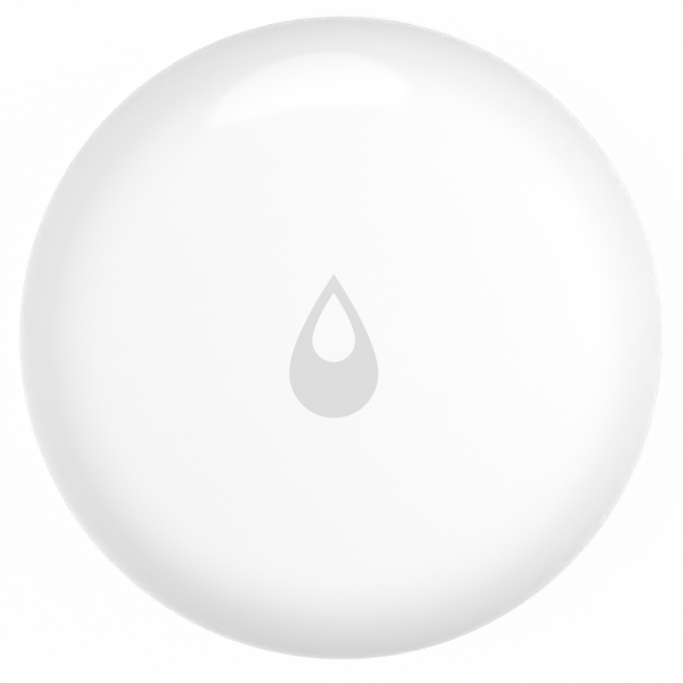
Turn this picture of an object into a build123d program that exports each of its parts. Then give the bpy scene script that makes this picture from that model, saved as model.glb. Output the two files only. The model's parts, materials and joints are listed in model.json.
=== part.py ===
from build123d import *
import math
import os

# Water leak sensor: a glossy white puck that lies on the floor and feels water between two probes.
# The whole top is one press button over a small switch, and a printed drop marks its middle.
# A coin cell sits under a cover that twists off the underside and carries the two probes.
# Millimetres, +Z up, origin on the floor under the middle; the tip of the drop points to +Y.
# Widths add up from the coin cell outwards to a puck 50 across, and heights from the floor up to 15.

# Shape of the outside
foot_height = 0.8          # the underside stands this far off the floor, so water reaches the probes
crown_radius = 150.0       # slow curve of the top
side_straight = 1.23       # upright part of the side, between the shoulder and the cap's edge
press_travel = 0.25
press_reserve = 0.15       # gap that is left between cap and housing when the cap is pressed
rim_rise = 0.25            # the housing's rim stands this far above the inner cover's lower edge

# Top cap
cap_wall = 1.5
cap_room = 1.9             # free height between the cap and the inner cover, in the middle
cap_edge_round = 0.25
cap_boss_radius = 1.5
hook_count = 3
hook_first_angle = 30
hook_arc = 24
hook_wall = 1.1
hook_clearance = 0.4
hook_side_gap = 1.1        # room for a hook to bend outwards
hook_floor_gap = 0.65
hook_root = 0.55           # how far the hook's arm runs into the cap's wall
barb_wall_clearance = 0.3
barb_height = 1.05
barb_clearance = 0.05

# Drop mark
drop_length = 11.0
drop_width = 6.8
drop_depth = 0.45
tip_handle_width_share = 0.38
tip_handle_length_share = 0.35
bulb_handle_length_share = 0.12
inner_drop_share = 0.48
inner_drop_setback_share = 0.13

# Coin cell
cell_radius = 10.0
cell_height = 3.2
cell_wall = 0.25
cell_edge_round = 0.45
cell_shoulder = 1.2        # the lid is this much smaller than the can, all round
cell_lid_rise = 0.2
cell_gasket_wall = 0.35
cell_clearance = 0.05      # between the cell and the shelf above it

# Lower housing
housing_floor = 1.5
lip_clearance = 0.3
lip_wall = 1.0
lip_height = 0.95
rib_wall = 0.6
well_wall = 1.7
ledge_height = 1.2         # depth of the recess for the cover's flange
ledge_wall = 1.1
shelf_thickness = 1.0
shelf_hole_clearance = 0.2
cradle_clearance = 0.15
cradle_wall = 1.15
cradle_depth = 1.4
cradle_gap_width = 5.0
foot_count = 3
foot_first_angle = 90
foot_radius = 1.1
foot_taper = 15
mark_depth = 0.2
mark_dot_radius = 0.55
mark_bar_width = 0.45
mark_bar_length = 1.6
closed_angle = 270
open_turn = 45

# Inner cover
inner_wall = 1.2
inner_wall_clearance = 0.15
inner_top_wall = 1.0
inner_edge_round = 2.0
bead_height = 1.0
bead_reach = 0.85
screw_boss_radius = 1.8

# Press membrane
membrane_throat_radius = 2.6
membrane_wall = 0.5
membrane_flange = 0.8
membrane_web = 0.4
membrane_switch_gap = 0.5
membrane_nub_radius = 1.2
nub_stand = 0.2            # the nub stands this far above the membrane's upper flange
nub_clearance = 0.05

# Circuit board and what is soldered on it
board_thickness = 1.0
board_side_gap = 0.65
switch_size = 4.5
switch_height = 1.1
switch_plate = 0.2
switch_plate_round = 0.25
stem_radius = 0.9
stem_height = 1.0
stem_stand = 0.6           # how far the stem stands above the switch's body
stem_clearance = 0.1
led_length = 1.6
led_width = 0.8
led_height = 0.6
led_offset = 5.8
chip_size = 5.0
chip_height = 0.85
chip_bevel = 0.3
chip_place_shares = (-0.495, 0.275)
crystal_length = 3.2
crystal_width = 2.5
crystal_height = 0.7
crystal_round = 0.3
crystal_gap = 1.75
sense_chip_length = 4.9
sense_chip_width = 3.9
sense_chip_height = 1.2
sense_chip_place_shares = (0.495, 0.275)
sense_leg_count = 4
sense_leg_pitch = 1.27
sense_leg_width = 0.4
sense_leg_reach = 1.0
sense_leg_thickness = 0.2
capacitor_length = 1.0
capacitor_width = 0.5
capacitor_height = 0.5
capacitor_pitch = 1.6
capacitor_count = 5
resistor_length = 1.6
resistor_width = 0.8
resistor_height = 0.45
resistor_pitch = 1.7
resistor_count = 4
small_part_gap = 1.5
antenna_width = 0.5
antenna_pitch = 1.5
antenna_depth = 3.0
antenna_folds = 8
antenna_thickness = 0.1
antenna_edge_gap = 2.7

# Light guide
guide_radius = 1.0
guide_flange_reach = 0.5
guide_flange = 0.4
guide_top_clearance = 0.5
guide_led_gap = 0.2
guide_hole_clearance = 0.05

# Screws that clamp housing, board and inner cover together
screw_count = 3
screw_first_angle = 90
screw_side_gap = 0.3
screw_shank_radius = 0.85
screw_head_radius = 1.5
screw_head_height = 1.0
screw_bite = 1.5
screw_tip = 0.5
screw_hole_clearance = 0.15
screw_grip_clearance = 0.02
recess_length_share = 0.6
recess_width_share = 0.16
recess_depth_share = 0.45

# Contacts, bent from strip
strip_thickness = 0.15
contact_width = 3.0
contact_gap = 0.04
contact_foot = 2.2
positive_depth = 2.8
negative_reach = 5.5
probe_spring_width = 1.6
probe_spring_length = 3.6
window_margin = 0.6

# Battery cover
flange_reach = 1.6         # the flange laps the well's edge by this much
flange_clearance = 0.05
flange_side_gap = 0.15
plate_thickness = 1.8
plug_clearance = 0.2
plug_wall = 1.9
plug_top_clearance = 0.2
locator_wall = 0.6
locator_height = 1.0
locator_clearance = 0.2
cover_lead = 18.0          # how far one full turn moves the cover
lug_count = 3
lug_first_angle = 0
lug_arc = 14
lug_reach = 0.7
lug_height = 1.0
lug_lift = 1.0             # the lugs lie this far above the ledge
groove_clearance = 0.1
groove_depth_clearance = 0.15
groove_stop_arc = 1.5
coin_slot_length = 14.0
coin_slot_width = 2.0
coin_slot_depth = 1.0
arrow_length = 1.6
arrow_width = 1.8
arrow_edge_gap = 1.4
pad_radius = 4.0
pad_thickness = 0.43
pad_clearance = 0.02

# Seals
cover_seal_section = 0.9
cover_seal_gap = 0.04
cover_seal_top_wall = 0.35
seal_side_gap = 0.1
seal_seat_gap = 0.01
housing_seal_section = 0.96
housing_seal_gap = 0.02

# Probes
probe_head_radius = 2.0
probe_head_height = 1.0
probe_proud = 0.5          # how far the head stands below the cover
probe_head_round = 0.3
probe_shank_radius = 0.85
probe_end = 0.6            # how far the shank stands above its boss
probe_boss_radius = 2.1
probe_boss_height = 1.8
probe_boss_inset = 0.3     # the boss starts this far outside the locator's inner wall
probe_side_gap = 0.2
counterbore_clearance = 0.15
probe_hole_clearance = 0.1
probe_seal_section = 0.5
probe_seal_radius = 1.35
insert_radius = 1.5
insert_length = 1.5
insert_clearance = 0.02

# Cutting tools run past the faces that they cut by this much
overrun = 1.0

# Radii, from the coin cell outwards
cell_lid_radius = cell_radius - cell_shoulder
shelf_hole_radius = cell_lid_radius + shelf_hole_clearance
locator_inner_radius = cell_radius + locator_clearance
locator_outer_radius = locator_inner_radius + locator_wall
cradle_inner_radius = cell_radius + cradle_clearance
cradle_outer_radius = cradle_inner_radius + cradle_wall
screw_ring_radius = cradle_outer_radius + screw_side_gap + screw_head_radius
screw_room = screw_ring_radius + screw_head_radius + screw_side_gap
probe_room = locator_inner_radius + probe_boss_inset + 2 * probe_boss_radius + probe_side_gap
plug_inner_radius = max(screw_room, probe_room)
probe_radius = plug_inner_radius - probe_side_gap - probe_boss_radius
plug_radius = plug_inner_radius + plug_wall
well_radius = plug_radius + plug_clearance
well_outer_radius = well_radius + well_wall
flange_radius = well_radius + flange_reach
recess_radius = flange_radius + flange_side_gap
inner_cover_bore = well_outer_radius + inner_wall_clearance
inner_wall_radius = inner_cover_bore + inner_wall
board_radius = inner_cover_bore - board_side_gap
rib_inner_radius = inner_wall_radius + seal_side_gap
rib_outer_radius = rib_inner_radius + rib_wall
bead_radius = inner_wall_radius + bead_reach
hook_inner_radius = bead_radius + hook_clearance
hook_outer_radius = hook_inner_radius + hook_wall
barb_radius = inner_wall_radius + barb_wall_clearance
cap_inner_radius = hook_outer_radius + hook_side_gap
outer_radius = cap_inner_radius + cap_wall
lip_outer_radius = cap_inner_radius - lip_clearance
lip_inner_radius = lip_outer_radius - lip_wall

# Heights, from the floor up
underside = foot_height
core_floor = underside + housing_floor
plate_top = underside + plate_thickness
ledge = underside + ledge_height
flange_top = ledge - flange_clearance
channel_floor = ledge + ledge_wall
inner_bottom = channel_floor + housing_seal_section + 2 * housing_seal_gap
rim_height = inner_bottom + rim_rise
lip_top = rim_height + lip_height
reveal_gap = press_travel + press_reserve
cap_bottom = rim_height + reveal_gap
hook_bottom = lip_top + press_travel + hook_floor_gap
barb_top = hook_bottom + barb_height
bead_bottom = barb_top + barb_clearance
bead_top = bead_bottom + bead_height
cell_bottom = plate_top + pad_thickness + pad_clearance
cell_top = cell_bottom + cell_height
shelf_underside = cell_top + cell_clearance
shelf_top = shelf_underside + shelf_thickness
plug_top = shelf_underside - plug_top_clearance
board_top = shelf_top + board_thickness
switch_top = board_top + switch_height
stem_top = switch_top + stem_stand
nub_bottom = stem_top + nub_clearance
inner_ceiling = switch_top + switch_plate + membrane_switch_gap + membrane_wall
inner_top = inner_ceiling + inner_top_wall
nub_top = inner_top + membrane_wall + nub_stand
boss_bottom = nub_top + nub_clearance
cap_underside = inner_top + cap_room
puck_height = cap_underside + cap_wall
probe_head_bottom = underside - probe_proud
probe_head_top = probe_head_bottom + probe_head_height
counterbore_top = probe_head_top + probe_seal_section
boss_top = plate_top + probe_boss_height
probe_top = boss_top + probe_end
cover_seal_middle = plug_top - cover_seal_top_wall - seal_side_gap - cover_seal_section / 2
lug_middle = ledge + lug_lift + lug_height / 2

# The dome: a slow crown, and a shoulder of the one radius that touches both the crown and the side
crown_centre_height = puck_height - crown_radius
shoulder_centre_height = cap_bottom + side_straight
shoulder_rise = shoulder_centre_height - crown_centre_height
crown_excess = crown_radius**2 - outer_radius**2 - shoulder_rise**2
shoulder_radius = crown_excess / (2 * (crown_radius - outer_radius))
shoulder_centre_radius = outer_radius - shoulder_radius
crown_to_shoulder = crown_radius - shoulder_radius

# Other places that more than one piece uses
bowl_round = rim_height - underside
land_middle_radius = (recess_radius + outer_radius - bowl_round) / 2
screw_hole_radius = screw_shank_radius + screw_hole_clearance
screw_angles = [screw_first_angle + 360 / screw_count * i for i in range(screw_count)]
hook_angles = [hook_first_angle + 360 / hook_count * i for i in range(hook_count)]
lug_angles = [lug_first_angle + 360 / lug_count * i for i in range(lug_count)]
probe_sides = (-1, 1)
probe_places = [(side * probe_radius, 0) for side in probe_sides]
chip_place = [board_radius * share for share in chip_place_shares]
sense_chip_place = [board_radius * share for share in sense_chip_place_shares]


def radial_plane(angle):
    """Upright plane through the middle axis: its x runs outwards at the angle, its y runs up."""
    turn = math.radians(angle)
    return Plane(origin=(0, 0, 0), x_dir=(math.cos(turn), math.sin(turn), 0),
                 z_dir=(math.sin(turn), -math.cos(turn), 0))


def on_ring(radius, angle):
    """Point at the radius and angle round the middle axis."""
    return (radius * math.cos(math.radians(angle)), radius * math.sin(math.radians(angle)))


def dome_points(inset):
    """Top, tangent and side points of the dome's section, set in by the inset."""
    share = (crown_radius - inset) / crown_to_shoulder
    top = (0, puck_height - inset)
    tangent = (shoulder_centre_radius * share, crown_centre_height + shoulder_rise * share)
    side = (outer_radius - inset, shoulder_centre_height)
    return top, tangent, side


def drop_sketch(tip, length, width):
    """A drop with its tip towards +Y: two hollow-to-full flanks on a round bulb."""
    bulb = tip - length + width / 2
    tip_handle = (width * tip_handle_width_share, tip - length * tip_handle_length_share)
    bulb_handle = (width / 2, bulb + length * bulb_handle_length_share)
    with BuildSketch() as drop:
        with BuildLine():
            Bezier((0, tip), tip_handle, bulb_handle, (width / 2, bulb))
            mirror(about=Plane.YZ)
            ThreePointArc((width / 2, bulb), (0, tip - length), (-width / 2, bulb))
        make_face()
    return drop.sketch


def draw_cross(head_radius):
    """Draws the two bars of a cross recess."""
    for turn in (0, 90):
        Rectangle(head_radius * 2 * recess_length_share, head_radius * 2 * recess_width_share, rotation=turn)


def strip_outline(points, thickness):
    """Closed outline of a strip that is bent along the points, with its thickness on their right."""
    path = [Vector(x, y) for x, y in points]
    sides = [(after - before).normalized().rotate(Axis.Z, -90) for before, after in zip(path, path[1:])]
    bends = [sides[0]] + [(a + b) / (1 + a.dot(b)) for a, b in zip(sides, sides[1:])] + [sides[-1]]
    back = [point + bend * thickness for point, bend in zip(path, bends)]
    return path + back[::-1]


def save(piece, name):
    """Labels the finished piece and writes it."""
    piece.part.label = name
    export_step(piece.part, f"parts/{name}.step")


# Outline of the drop mark: a drop with a smaller drop left bare in it
drop_tip = drop_length / 2
inner_drop_tip = drop_tip - drop_length * inner_drop_setback_share

with BuildSketch() as drop_mark:
    add(drop_sketch(drop_tip, drop_length, drop_width))
    add(drop_sketch(inner_drop_tip, drop_length * inner_drop_share, drop_width * inner_drop_share),
        mode=Mode.SUBTRACT)

# Top cap: a domed shell with a boss over the switch and three hooks that hold it on the inner cover
outer_top, outer_tangent, outer_side = dome_points(0)
inner_dome_top, inner_tangent, inner_side = dome_points(cap_wall)
hook_top = (shoulder_centre_height + hook_root
            + math.sqrt((shoulder_radius - cap_wall)**2 - (hook_inner_radius - shoulder_centre_radius)**2))

with BuildPart() as top_cap:
    with BuildSketch(Plane.XZ):
        with BuildLine():
            crown = TangentArc(outer_top, outer_tangent, tangent=(1, 0))
            TangentArc(outer_tangent, outer_side, tangent=crown % 1)
            Polyline(outer_side, (outer_radius, cap_bottom), (cap_inner_radius, cap_bottom), inner_side)
            inner_crown = TangentArc(inner_dome_top, inner_tangent, tangent=(1, 0))
            TangentArc(inner_tangent, inner_side, tangent=inner_crown % 1)
            Line(outer_top, inner_dome_top)
        make_face()
    revolve(axis=Axis.Z)
    lowest_edges = top_cap.edges().filter_by(GeomType.CIRCLE).group_by(Axis.Z)[0]
    fillet(lowest_edges, radius=cap_edge_round)
    with BuildSketch(Plane.XY.offset(boss_bottom)):
        Circle(cap_boss_radius)
    extrude(amount=cap_underside - boss_bottom + cap_wall / 2)
    for angle in hook_angles:
        with BuildSketch(radial_plane(angle - hook_arc / 2)):
            with BuildLine():
                Polyline((hook_outer_radius, hook_bottom), (hook_outer_radius, hook_top),
                         (hook_inner_radius, hook_top), (hook_inner_radius, barb_top),
                         (barb_radius, barb_top), (hook_inner_radius, hook_bottom),
                         close=True)
            make_face()
        revolve(axis=Axis.Z, revolution_arc=hook_arc)
    with BuildSketch(Plane.XY.offset(puck_height - drop_depth)):
        add(drop_mark.sketch)
    extrude(amount=drop_depth + overrun, mode=Mode.SUBTRACT)
save(top_cap, "top_cap")

# Drop mark: a grey inlay that fills its pocket and follows the crown
with BuildPart() as drop_symbol:
    with BuildSketch(Plane.XZ):
        with BuildLine():
            crown = TangentArc(outer_top, outer_tangent, tangent=(1, 0))
            Polyline(outer_tangent, (outer_tangent[0], cap_bottom), (0, cap_bottom), outer_top)
        make_face()
    revolve(axis=Axis.Z)
    with BuildSketch(Plane.XY.offset(puck_height - drop_depth)):
        add(drop_mark.sketch)
    extrude(amount=drop_depth + overrun, mode=Mode.INTERSECT)
save(drop_symbol, "drop_symbol")

# Inner cover: the sealed lid over the board, with a bead that the cap's hooks catch
inner_bore_round = inner_edge_round - inner_top_wall
round_start = (inner_wall_radius - inner_edge_round, inner_top)
round_end = (inner_wall_radius, inner_top - inner_edge_round)
bore_round_start = (inner_cover_bore, inner_ceiling - inner_bore_round)
bore_round_end = (inner_cover_bore - inner_bore_round, inner_ceiling)

with BuildPart() as inner_cover:
    with BuildSketch(Plane.XZ):
        with BuildLine():
            Line((0, inner_top), round_start)
            RadiusArc(round_start, round_end, inner_edge_round)
            Polyline(round_end, (inner_wall_radius, bead_top + bead_reach), (bead_radius, bead_top),
                     (bead_radius, bead_bottom), (inner_wall_radius, bead_bottom),
                     (inner_wall_radius, inner_bottom), (inner_cover_bore, inner_bottom), bore_round_start)
            RadiusArc(bore_round_start, bore_round_end, -inner_bore_round)
            Polyline(bore_round_end, (0, inner_ceiling), (0, inner_top))
        make_face()
    revolve(axis=Axis.Z)
    with BuildSketch(Plane.XY.offset(board_top)):
        with PolarLocations(screw_ring_radius, screw_count, start_angle=screw_first_angle):
            Circle(screw_boss_radius)
    extrude(amount=inner_ceiling - board_top + inner_top_wall / 2)
    with BuildSketch(Plane.XY.offset(board_top)):
        with PolarLocations(screw_ring_radius, screw_count, start_angle=screw_first_angle):
            Circle(screw_shank_radius + screw_grip_clearance)
    extrude(amount=inner_ceiling - board_top, mode=Mode.SUBTRACT)
    with BuildSketch(Plane.XY.offset(inner_ceiling - overrun)):
        Circle(membrane_throat_radius)
        with Locations((0, -led_offset)):
            Circle(guide_radius + guide_hole_clearance)
    extrude(amount=inner_top_wall + 2 * overrun, mode=Mode.SUBTRACT)
save(inner_cover, "inner_cover")

# Press membrane: a rubber grommet that passes the press on to the switch and keeps water out
membrane_flange_radius = membrane_throat_radius + membrane_flange
membrane_bore = membrane_throat_radius - membrane_wall
web_bottom = (inner_ceiling + inner_top - membrane_web) / 2
web_top = web_bottom + membrane_web

with BuildPart() as button_membrane:
    with BuildSketch(Plane.XZ):
        with BuildLine():
            Polyline((0, nub_top), (membrane_nub_radius, nub_top), (membrane_nub_radius, web_top),
                     (membrane_bore, web_top), (membrane_bore, inner_top + membrane_wall),
                     (membrane_flange_radius, inner_top + membrane_wall),
                     (membrane_flange_radius, inner_top), (membrane_throat_radius, inner_top),
                     (membrane_throat_radius, inner_ceiling), (membrane_flange_radius, inner_ceiling),
                     (membrane_flange_radius, inner_ceiling - membrane_wall),
                     (membrane_bore, inner_ceiling - membrane_wall), (membrane_bore, web_bottom),
                     (membrane_nub_radius, web_bottom), (membrane_nub_radius, nub_bottom),
                     (0, nub_bottom), close=True)
        make_face()
    revolve(axis=Axis.Z)
save(button_membrane, "button_membrane")

# Light guide: a clear rod from the light on the board to the inside of the cap
guide_bottom = board_top + led_height + guide_led_gap
guide_top = (crown_centre_height + math.sqrt((crown_radius - cap_wall)**2 - led_offset**2)
             - guide_top_clearance)

with BuildPart() as light_guide:
    with BuildSketch(Plane.XY.offset(guide_bottom)):
        with Locations((0, -led_offset)):
            Circle(guide_radius)
    extrude(amount=guide_top - guide_bottom)
    with BuildSketch(Plane.XY.offset(inner_top)):
        with Locations((0, -led_offset)):
            Circle(guide_radius + guide_flange_reach)
    extrude(amount=guide_flange)
save(light_guide, "light_guide")

# Lower housing: outer bowl, seal channel, threaded well for the battery cover and the board's shelf
window_length = probe_spring_length + 2 * window_margin
window_width = probe_spring_width + 2 * window_margin
foot_slot_end = cell_radius + contact_gap + contact_foot + window_margin
groove_height = lug_height + 2 * groove_clearance
groove_run = 360 * (lug_middle - ledge + groove_height) / cover_lead
groove_arc = groove_run + lug_arc / 2 + groove_stop_arc
groove_start = lug_middle - cover_lead * groove_run / 360
groove_radius = plug_radius + lug_reach + groove_depth_clearance

with BuildPart() as groove_tool:
    with BuildLine():
        Helix(pitch=cover_lead, height=cover_lead * groove_arc / 360, radius=well_radius,
              center=(0, 0, groove_start))
    with BuildSketch(Plane.XZ):
        with Locations(((plug_radius + groove_radius) / 2, groove_start)):
            Rectangle(groove_radius - plug_radius, groove_height)
    sweep(is_frenet=True)

with BuildPart() as lower_housing:
    with BuildSketch(Plane.XZ):
        with BuildLine():
            Line((recess_radius, underside), (outer_radius - bowl_round, underside))
            RadiusArc((outer_radius - bowl_round, underside), (outer_radius, rim_height), -bowl_round)
            Polyline((outer_radius, rim_height), (lip_outer_radius, rim_height),
                     (lip_outer_radius, lip_top), (lip_inner_radius, lip_top),
                     (lip_inner_radius, core_floor), (rib_outer_radius, core_floor),
                     (rib_outer_radius, lip_top), (rib_inner_radius, lip_top),
                     (rib_inner_radius, channel_floor), (well_outer_radius, channel_floor),
                     (well_outer_radius, shelf_top), (shelf_hole_radius, shelf_top),
                     (shelf_hole_radius, shelf_underside), (cradle_inner_radius, shelf_underside),
                     (cradle_inner_radius, shelf_underside - cradle_depth),
                     (cradle_outer_radius, shelf_underside - cradle_depth),
                     (cradle_outer_radius, shelf_underside), (well_radius, shelf_underside),
                     (well_radius, ledge), (recess_radius, ledge), (recess_radius, underside))
        make_face()
    revolve(axis=Axis.Z)
    with BuildSketch(Plane.XY):
        with PolarLocations(land_middle_radius, foot_count, start_angle=foot_first_angle):
            Circle(foot_radius)
    extrude(amount=foot_height, taper=-foot_taper)
    with BuildSketch(Plane.XY.offset(shelf_underside - cradle_depth)):
        with Locations((0, -(foot_slot_end + cell_lid_radius) / 2)):
            Rectangle(cradle_gap_width, foot_slot_end - cell_lid_radius)
    extrude(amount=cradle_depth + shelf_thickness, mode=Mode.SUBTRACT)
    with BuildSketch(Plane.XY.offset(shelf_underside)):
        with PolarLocations(screw_ring_radius, screw_count, start_angle=screw_first_angle):
            Circle(screw_hole_radius)
        with Locations(*probe_places):
            Rectangle(window_width, window_length)
    extrude(amount=shelf_thickness, mode=Mode.SUBTRACT)
    for angle in lug_angles:
        add(groove_tool.part, rotation=(0, 0, angle - groove_run), mode=Mode.SUBTRACT)
    with BuildSketch(Plane.XY.offset(underside)):
        with Locations(on_ring(land_middle_radius, closed_angle)):
            Circle(mark_dot_radius)
        with Locations(on_ring(land_middle_radius, closed_angle - open_turn)):
            Rectangle(mark_bar_length, mark_bar_width, rotation=closed_angle - open_turn)
    extrude(amount=mark_depth, mode=Mode.SUBTRACT)
save(lower_housing, "lower_housing")

# Housing seal: the ring at the bottom of the channel, under the inner cover's wall
housing_seal_middle = (inner_wall_radius - inner_wall / 2,
                       channel_floor + housing_seal_gap + housing_seal_section / 2)

with BuildPart() as housing_seal:
    with BuildSketch(Plane.XZ):
        with Locations(housing_seal_middle):
            Circle(housing_seal_section / 2)
    revolve(axis=Axis.Z)
save(housing_seal, "housing_seal")

# Main board
with BuildPart() as main_board:
    with BuildSketch(Plane.XY.offset(shelf_top)):
        Circle(board_radius)
        with PolarLocations(screw_ring_radius, screw_count, start_angle=screw_first_angle):
            Circle(screw_hole_radius, mode=Mode.SUBTRACT)
    extrude(amount=board_thickness)
save(main_board, "main_board")

# Radio chip with a bevel at its first corner
with BuildPart() as radio_chip:
    with BuildSketch(Plane.XY.offset(board_top)):
        with Locations(tuple(chip_place)):
            Rectangle(chip_size, chip_size)
    extrude(amount=chip_height)
    left_edges = radio_chip.edges().filter_by(Axis.Z).group_by(Axis.X)[0]
    chamfer(left_edges.sort_by(Axis.Y)[-1], length=chip_bevel)
save(radio_chip, "radio_chip")

# Radio crystal in its metal can
with BuildPart() as radio_crystal:
    with BuildSketch(Plane.XY.offset(board_top)):
        with Locations((chip_place[0], chip_place[1] + (chip_size + crystal_width) / 2 + crystal_gap)):
            RectangleRounded(crystal_length, crystal_width, crystal_round)
    extrude(amount=crystal_height)
save(radio_crystal, "radio_crystal")

# Probe sensing chip with two rows of legs
with BuildPart() as sense_chip:
    with BuildSketch(Plane.XY.offset(board_top + sense_leg_thickness)):
        with Locations(tuple(sense_chip_place)):
            Rectangle(sense_chip_length, sense_chip_width)
    extrude(amount=sense_chip_height - sense_leg_thickness)
    with BuildSketch(Plane.XY.offset(board_top)):
        with Locations(tuple(sense_chip_place)):
            with GridLocations(sense_leg_pitch, 0, sense_leg_count, 1):
                Rectangle(sense_leg_width, sense_chip_width + 2 * sense_leg_reach)
    extrude(amount=2 * sense_leg_thickness)
save(sense_chip, "sense_chip")

# Chip capacitors, a row beside the radio chip
with BuildPart() as chip_capacitors:
    with BuildSketch(Plane.XY.offset(board_top)):
        with Locations((chip_place[0], chip_place[1] - (chip_size + capacitor_length) / 2 - small_part_gap)):
            with GridLocations(capacitor_pitch, 0, capacitor_count, 1):
                Rectangle(capacitor_width, capacitor_length)
    extrude(amount=capacitor_height)
save(chip_capacitors, "chip_capacitors")

# Chip resistors, a row beside the sensing chip
resistor_row = (sense_chip_place[1] - sense_chip_width / 2 - sense_leg_reach - small_part_gap
                - resistor_length / 2)

with BuildPart() as chip_resistors:
    with BuildSketch(Plane.XY.offset(board_top)):
        with Locations((sense_chip_place[0], resistor_row)):
            with GridLocations(resistor_pitch, 0, resistor_count, 1):
                Rectangle(resistor_width, resistor_length)
    extrude(amount=resistor_height)
save(chip_resistors, "chip_resistors")

# Antenna: a folded trace along the edge of the board, away from the screws
antenna_middle_y = -(board_radius - antenna_edge_gap - antenna_depth / 2)

with BuildPart() as antenna:
    with BuildSketch(Plane.XY.offset(board_top)):
        for i in range(antenna_folds + 1):
            fold_x = (i - antenna_folds / 2) * antenna_pitch
            with Locations((fold_x, antenna_middle_y)):
                Rectangle(antenna_width, antenna_depth)
        for i in range(antenna_folds):
            link_x = (i + 1 / 2 - antenna_folds / 2) * antenna_pitch
            link_side = 1 if i % 2 else -1
            link_y = antenna_middle_y + link_side * (antenna_depth - antenna_width) / 2
            with Locations((link_x, link_y)):
                Rectangle(antenna_pitch + antenna_width, antenna_width)
    extrude(amount=antenna_thickness)
save(antenna, "antenna")

# Status light
with BuildPart() as status_led:
    with BuildSketch(Plane.XY.offset(board_top)):
        with Locations((0, -led_offset)):
            Rectangle(led_length, led_width)
    extrude(amount=led_height)
save(status_led, "status_led")

# Switch body with the bore that its stem slides in
stem_bore_radius = stem_radius + stem_clearance
stem_bottom = stem_top - stem_height
stem_bore_bottom = stem_bottom - press_travel - nub_clearance

with BuildPart() as switch_body:
    with BuildSketch(Plane.XY.offset(board_top)):
        Rectangle(switch_size, switch_size)
    extrude(amount=switch_height)
    with BuildSketch(Plane.XY.offset(stem_bore_bottom)):
        Circle(stem_bore_radius)
    extrude(amount=switch_top - stem_bore_bottom, mode=Mode.SUBTRACT)
save(switch_body, "switch_body")

# Switch frame: the sheet metal plate that closes the switch
with BuildPart() as switch_frame:
    with BuildSketch(Plane.XY.offset(switch_top)):
        RectangleRounded(switch_size, switch_size, switch_plate_round)
        Circle(stem_bore_radius, mode=Mode.SUBTRACT)
    extrude(amount=switch_plate)
save(switch_frame, "switch_frame")

# Switch stem
with BuildPart() as switch_stem:
    with BuildSketch(Plane.XY.offset(stem_bottom)):
        Circle(stem_radius)
    extrude(amount=stem_height)
save(switch_stem, "switch_stem")

# Board screws, driven from the battery well up into the inner cover's bosses
with BuildPart() as board_screws:
    with BuildSketch(Plane.XY.offset(shelf_underside - screw_head_height)):
        with PolarLocations(screw_ring_radius, screw_count, start_angle=screw_first_angle):
            Circle(screw_head_radius)
    extrude(amount=screw_head_height)
    with BuildSketch(Plane.XY.offset(shelf_underside)):
        with PolarLocations(screw_ring_radius, screw_count, start_angle=screw_first_angle):
            Circle(screw_shank_radius)
    extrude(amount=shelf_thickness + board_thickness + screw_bite)
    chamfer(board_screws.faces().filter_by(Plane.XY).group_by(Axis.Z)[-1].edges(), length=screw_tip)
    for angle in screw_angles:
        with BuildSketch(Plane.XY.offset(shelf_underside - screw_head_height)):
            with Locations(on_ring(screw_ring_radius, angle)):
                draw_cross(screw_head_radius)
        extrude(amount=screw_head_height * recess_depth_share, mode=Mode.SUBTRACT)
save(board_screws, "board_screws")

# Coin cell: can, gasket, filling and lid; the lid is the upper, negative side
can_inner_radius = cell_radius - cell_wall
core_radius = can_inner_radius - cell_gasket_wall
can_top = cell_top - cell_lid_rise
lip_radius = cell_lid_radius + cell_gasket_wall
core_bottom = cell_bottom + cell_wall
lip_underside = can_top - cell_wall
core_top = lip_underside - cell_gasket_wall

with BuildPart() as battery_can:
    with BuildSketch(Plane.XZ):
        with BuildLine():
            Polyline((0, cell_bottom), (cell_radius, cell_bottom), (cell_radius, can_top),
                     (lip_radius, can_top), (lip_radius, lip_underside), (can_inner_radius, lip_underside),
                     (can_inner_radius, core_bottom), (0, core_bottom), close=True)
        make_face()
    revolve(axis=Axis.Z)
    outer_edges = battery_can.edges().filter_by(GeomType.CIRCLE).group_by(Axis.Z)[0]
    fillet(outer_edges, radius=cell_edge_round)
save(battery_can, "battery_can")

with BuildPart() as battery_gasket:
    with BuildSketch(Plane.XZ):
        with BuildLine():
            Polyline((core_radius, core_bottom), (can_inner_radius, core_bottom),
                     (can_inner_radius, lip_underside), (lip_radius, lip_underside), (lip_radius, can_top),
                     (cell_lid_radius, can_top), (cell_lid_radius, core_top), (core_radius, core_top),
                     close=True)
        make_face()
    revolve(axis=Axis.Z)
save(battery_gasket, "battery_gasket")

with BuildPart() as battery_core:
    with BuildSketch(Plane.XY.offset(core_bottom)):
        Circle(core_radius)
    extrude(amount=core_top - core_bottom)
save(battery_core, "battery_core")

with BuildPart() as battery_lid:
    with BuildSketch(Plane.XY.offset(core_top)):
        Circle(cell_lid_radius)
    extrude(amount=cell_top - core_top)
    chamfer(battery_lid.faces().sort_by(Axis.Z)[-1].edges(), length=cell_lid_rise / 2)
save(battery_lid, "battery_lid")

# Negative contact: a leaf from the board's underside down to the cell's lid
negative_low = cell_top + contact_gap
negative_tip_x = negative_reach - contact_foot / 2
leaf_tip_rise = (shelf_top - negative_low) / 2

with BuildPart() as negative_contact:
    with BuildSketch(Plane.XZ):
        with BuildLine():
            leaf = [(negative_reach, negative_low + leaf_tip_rise),
                    (negative_tip_x, negative_low),
                    (negative_tip_x - contact_foot, negative_low),
                    (-negative_reach + contact_foot, shelf_top - strip_thickness),
                    (-negative_reach, shelf_top - strip_thickness)]
            Polyline(*strip_outline(leaf, strip_thickness), close=True)
        make_face()
    extrude(amount=contact_width / 2, both=True)
save(negative_contact, "negative_contact")

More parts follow.
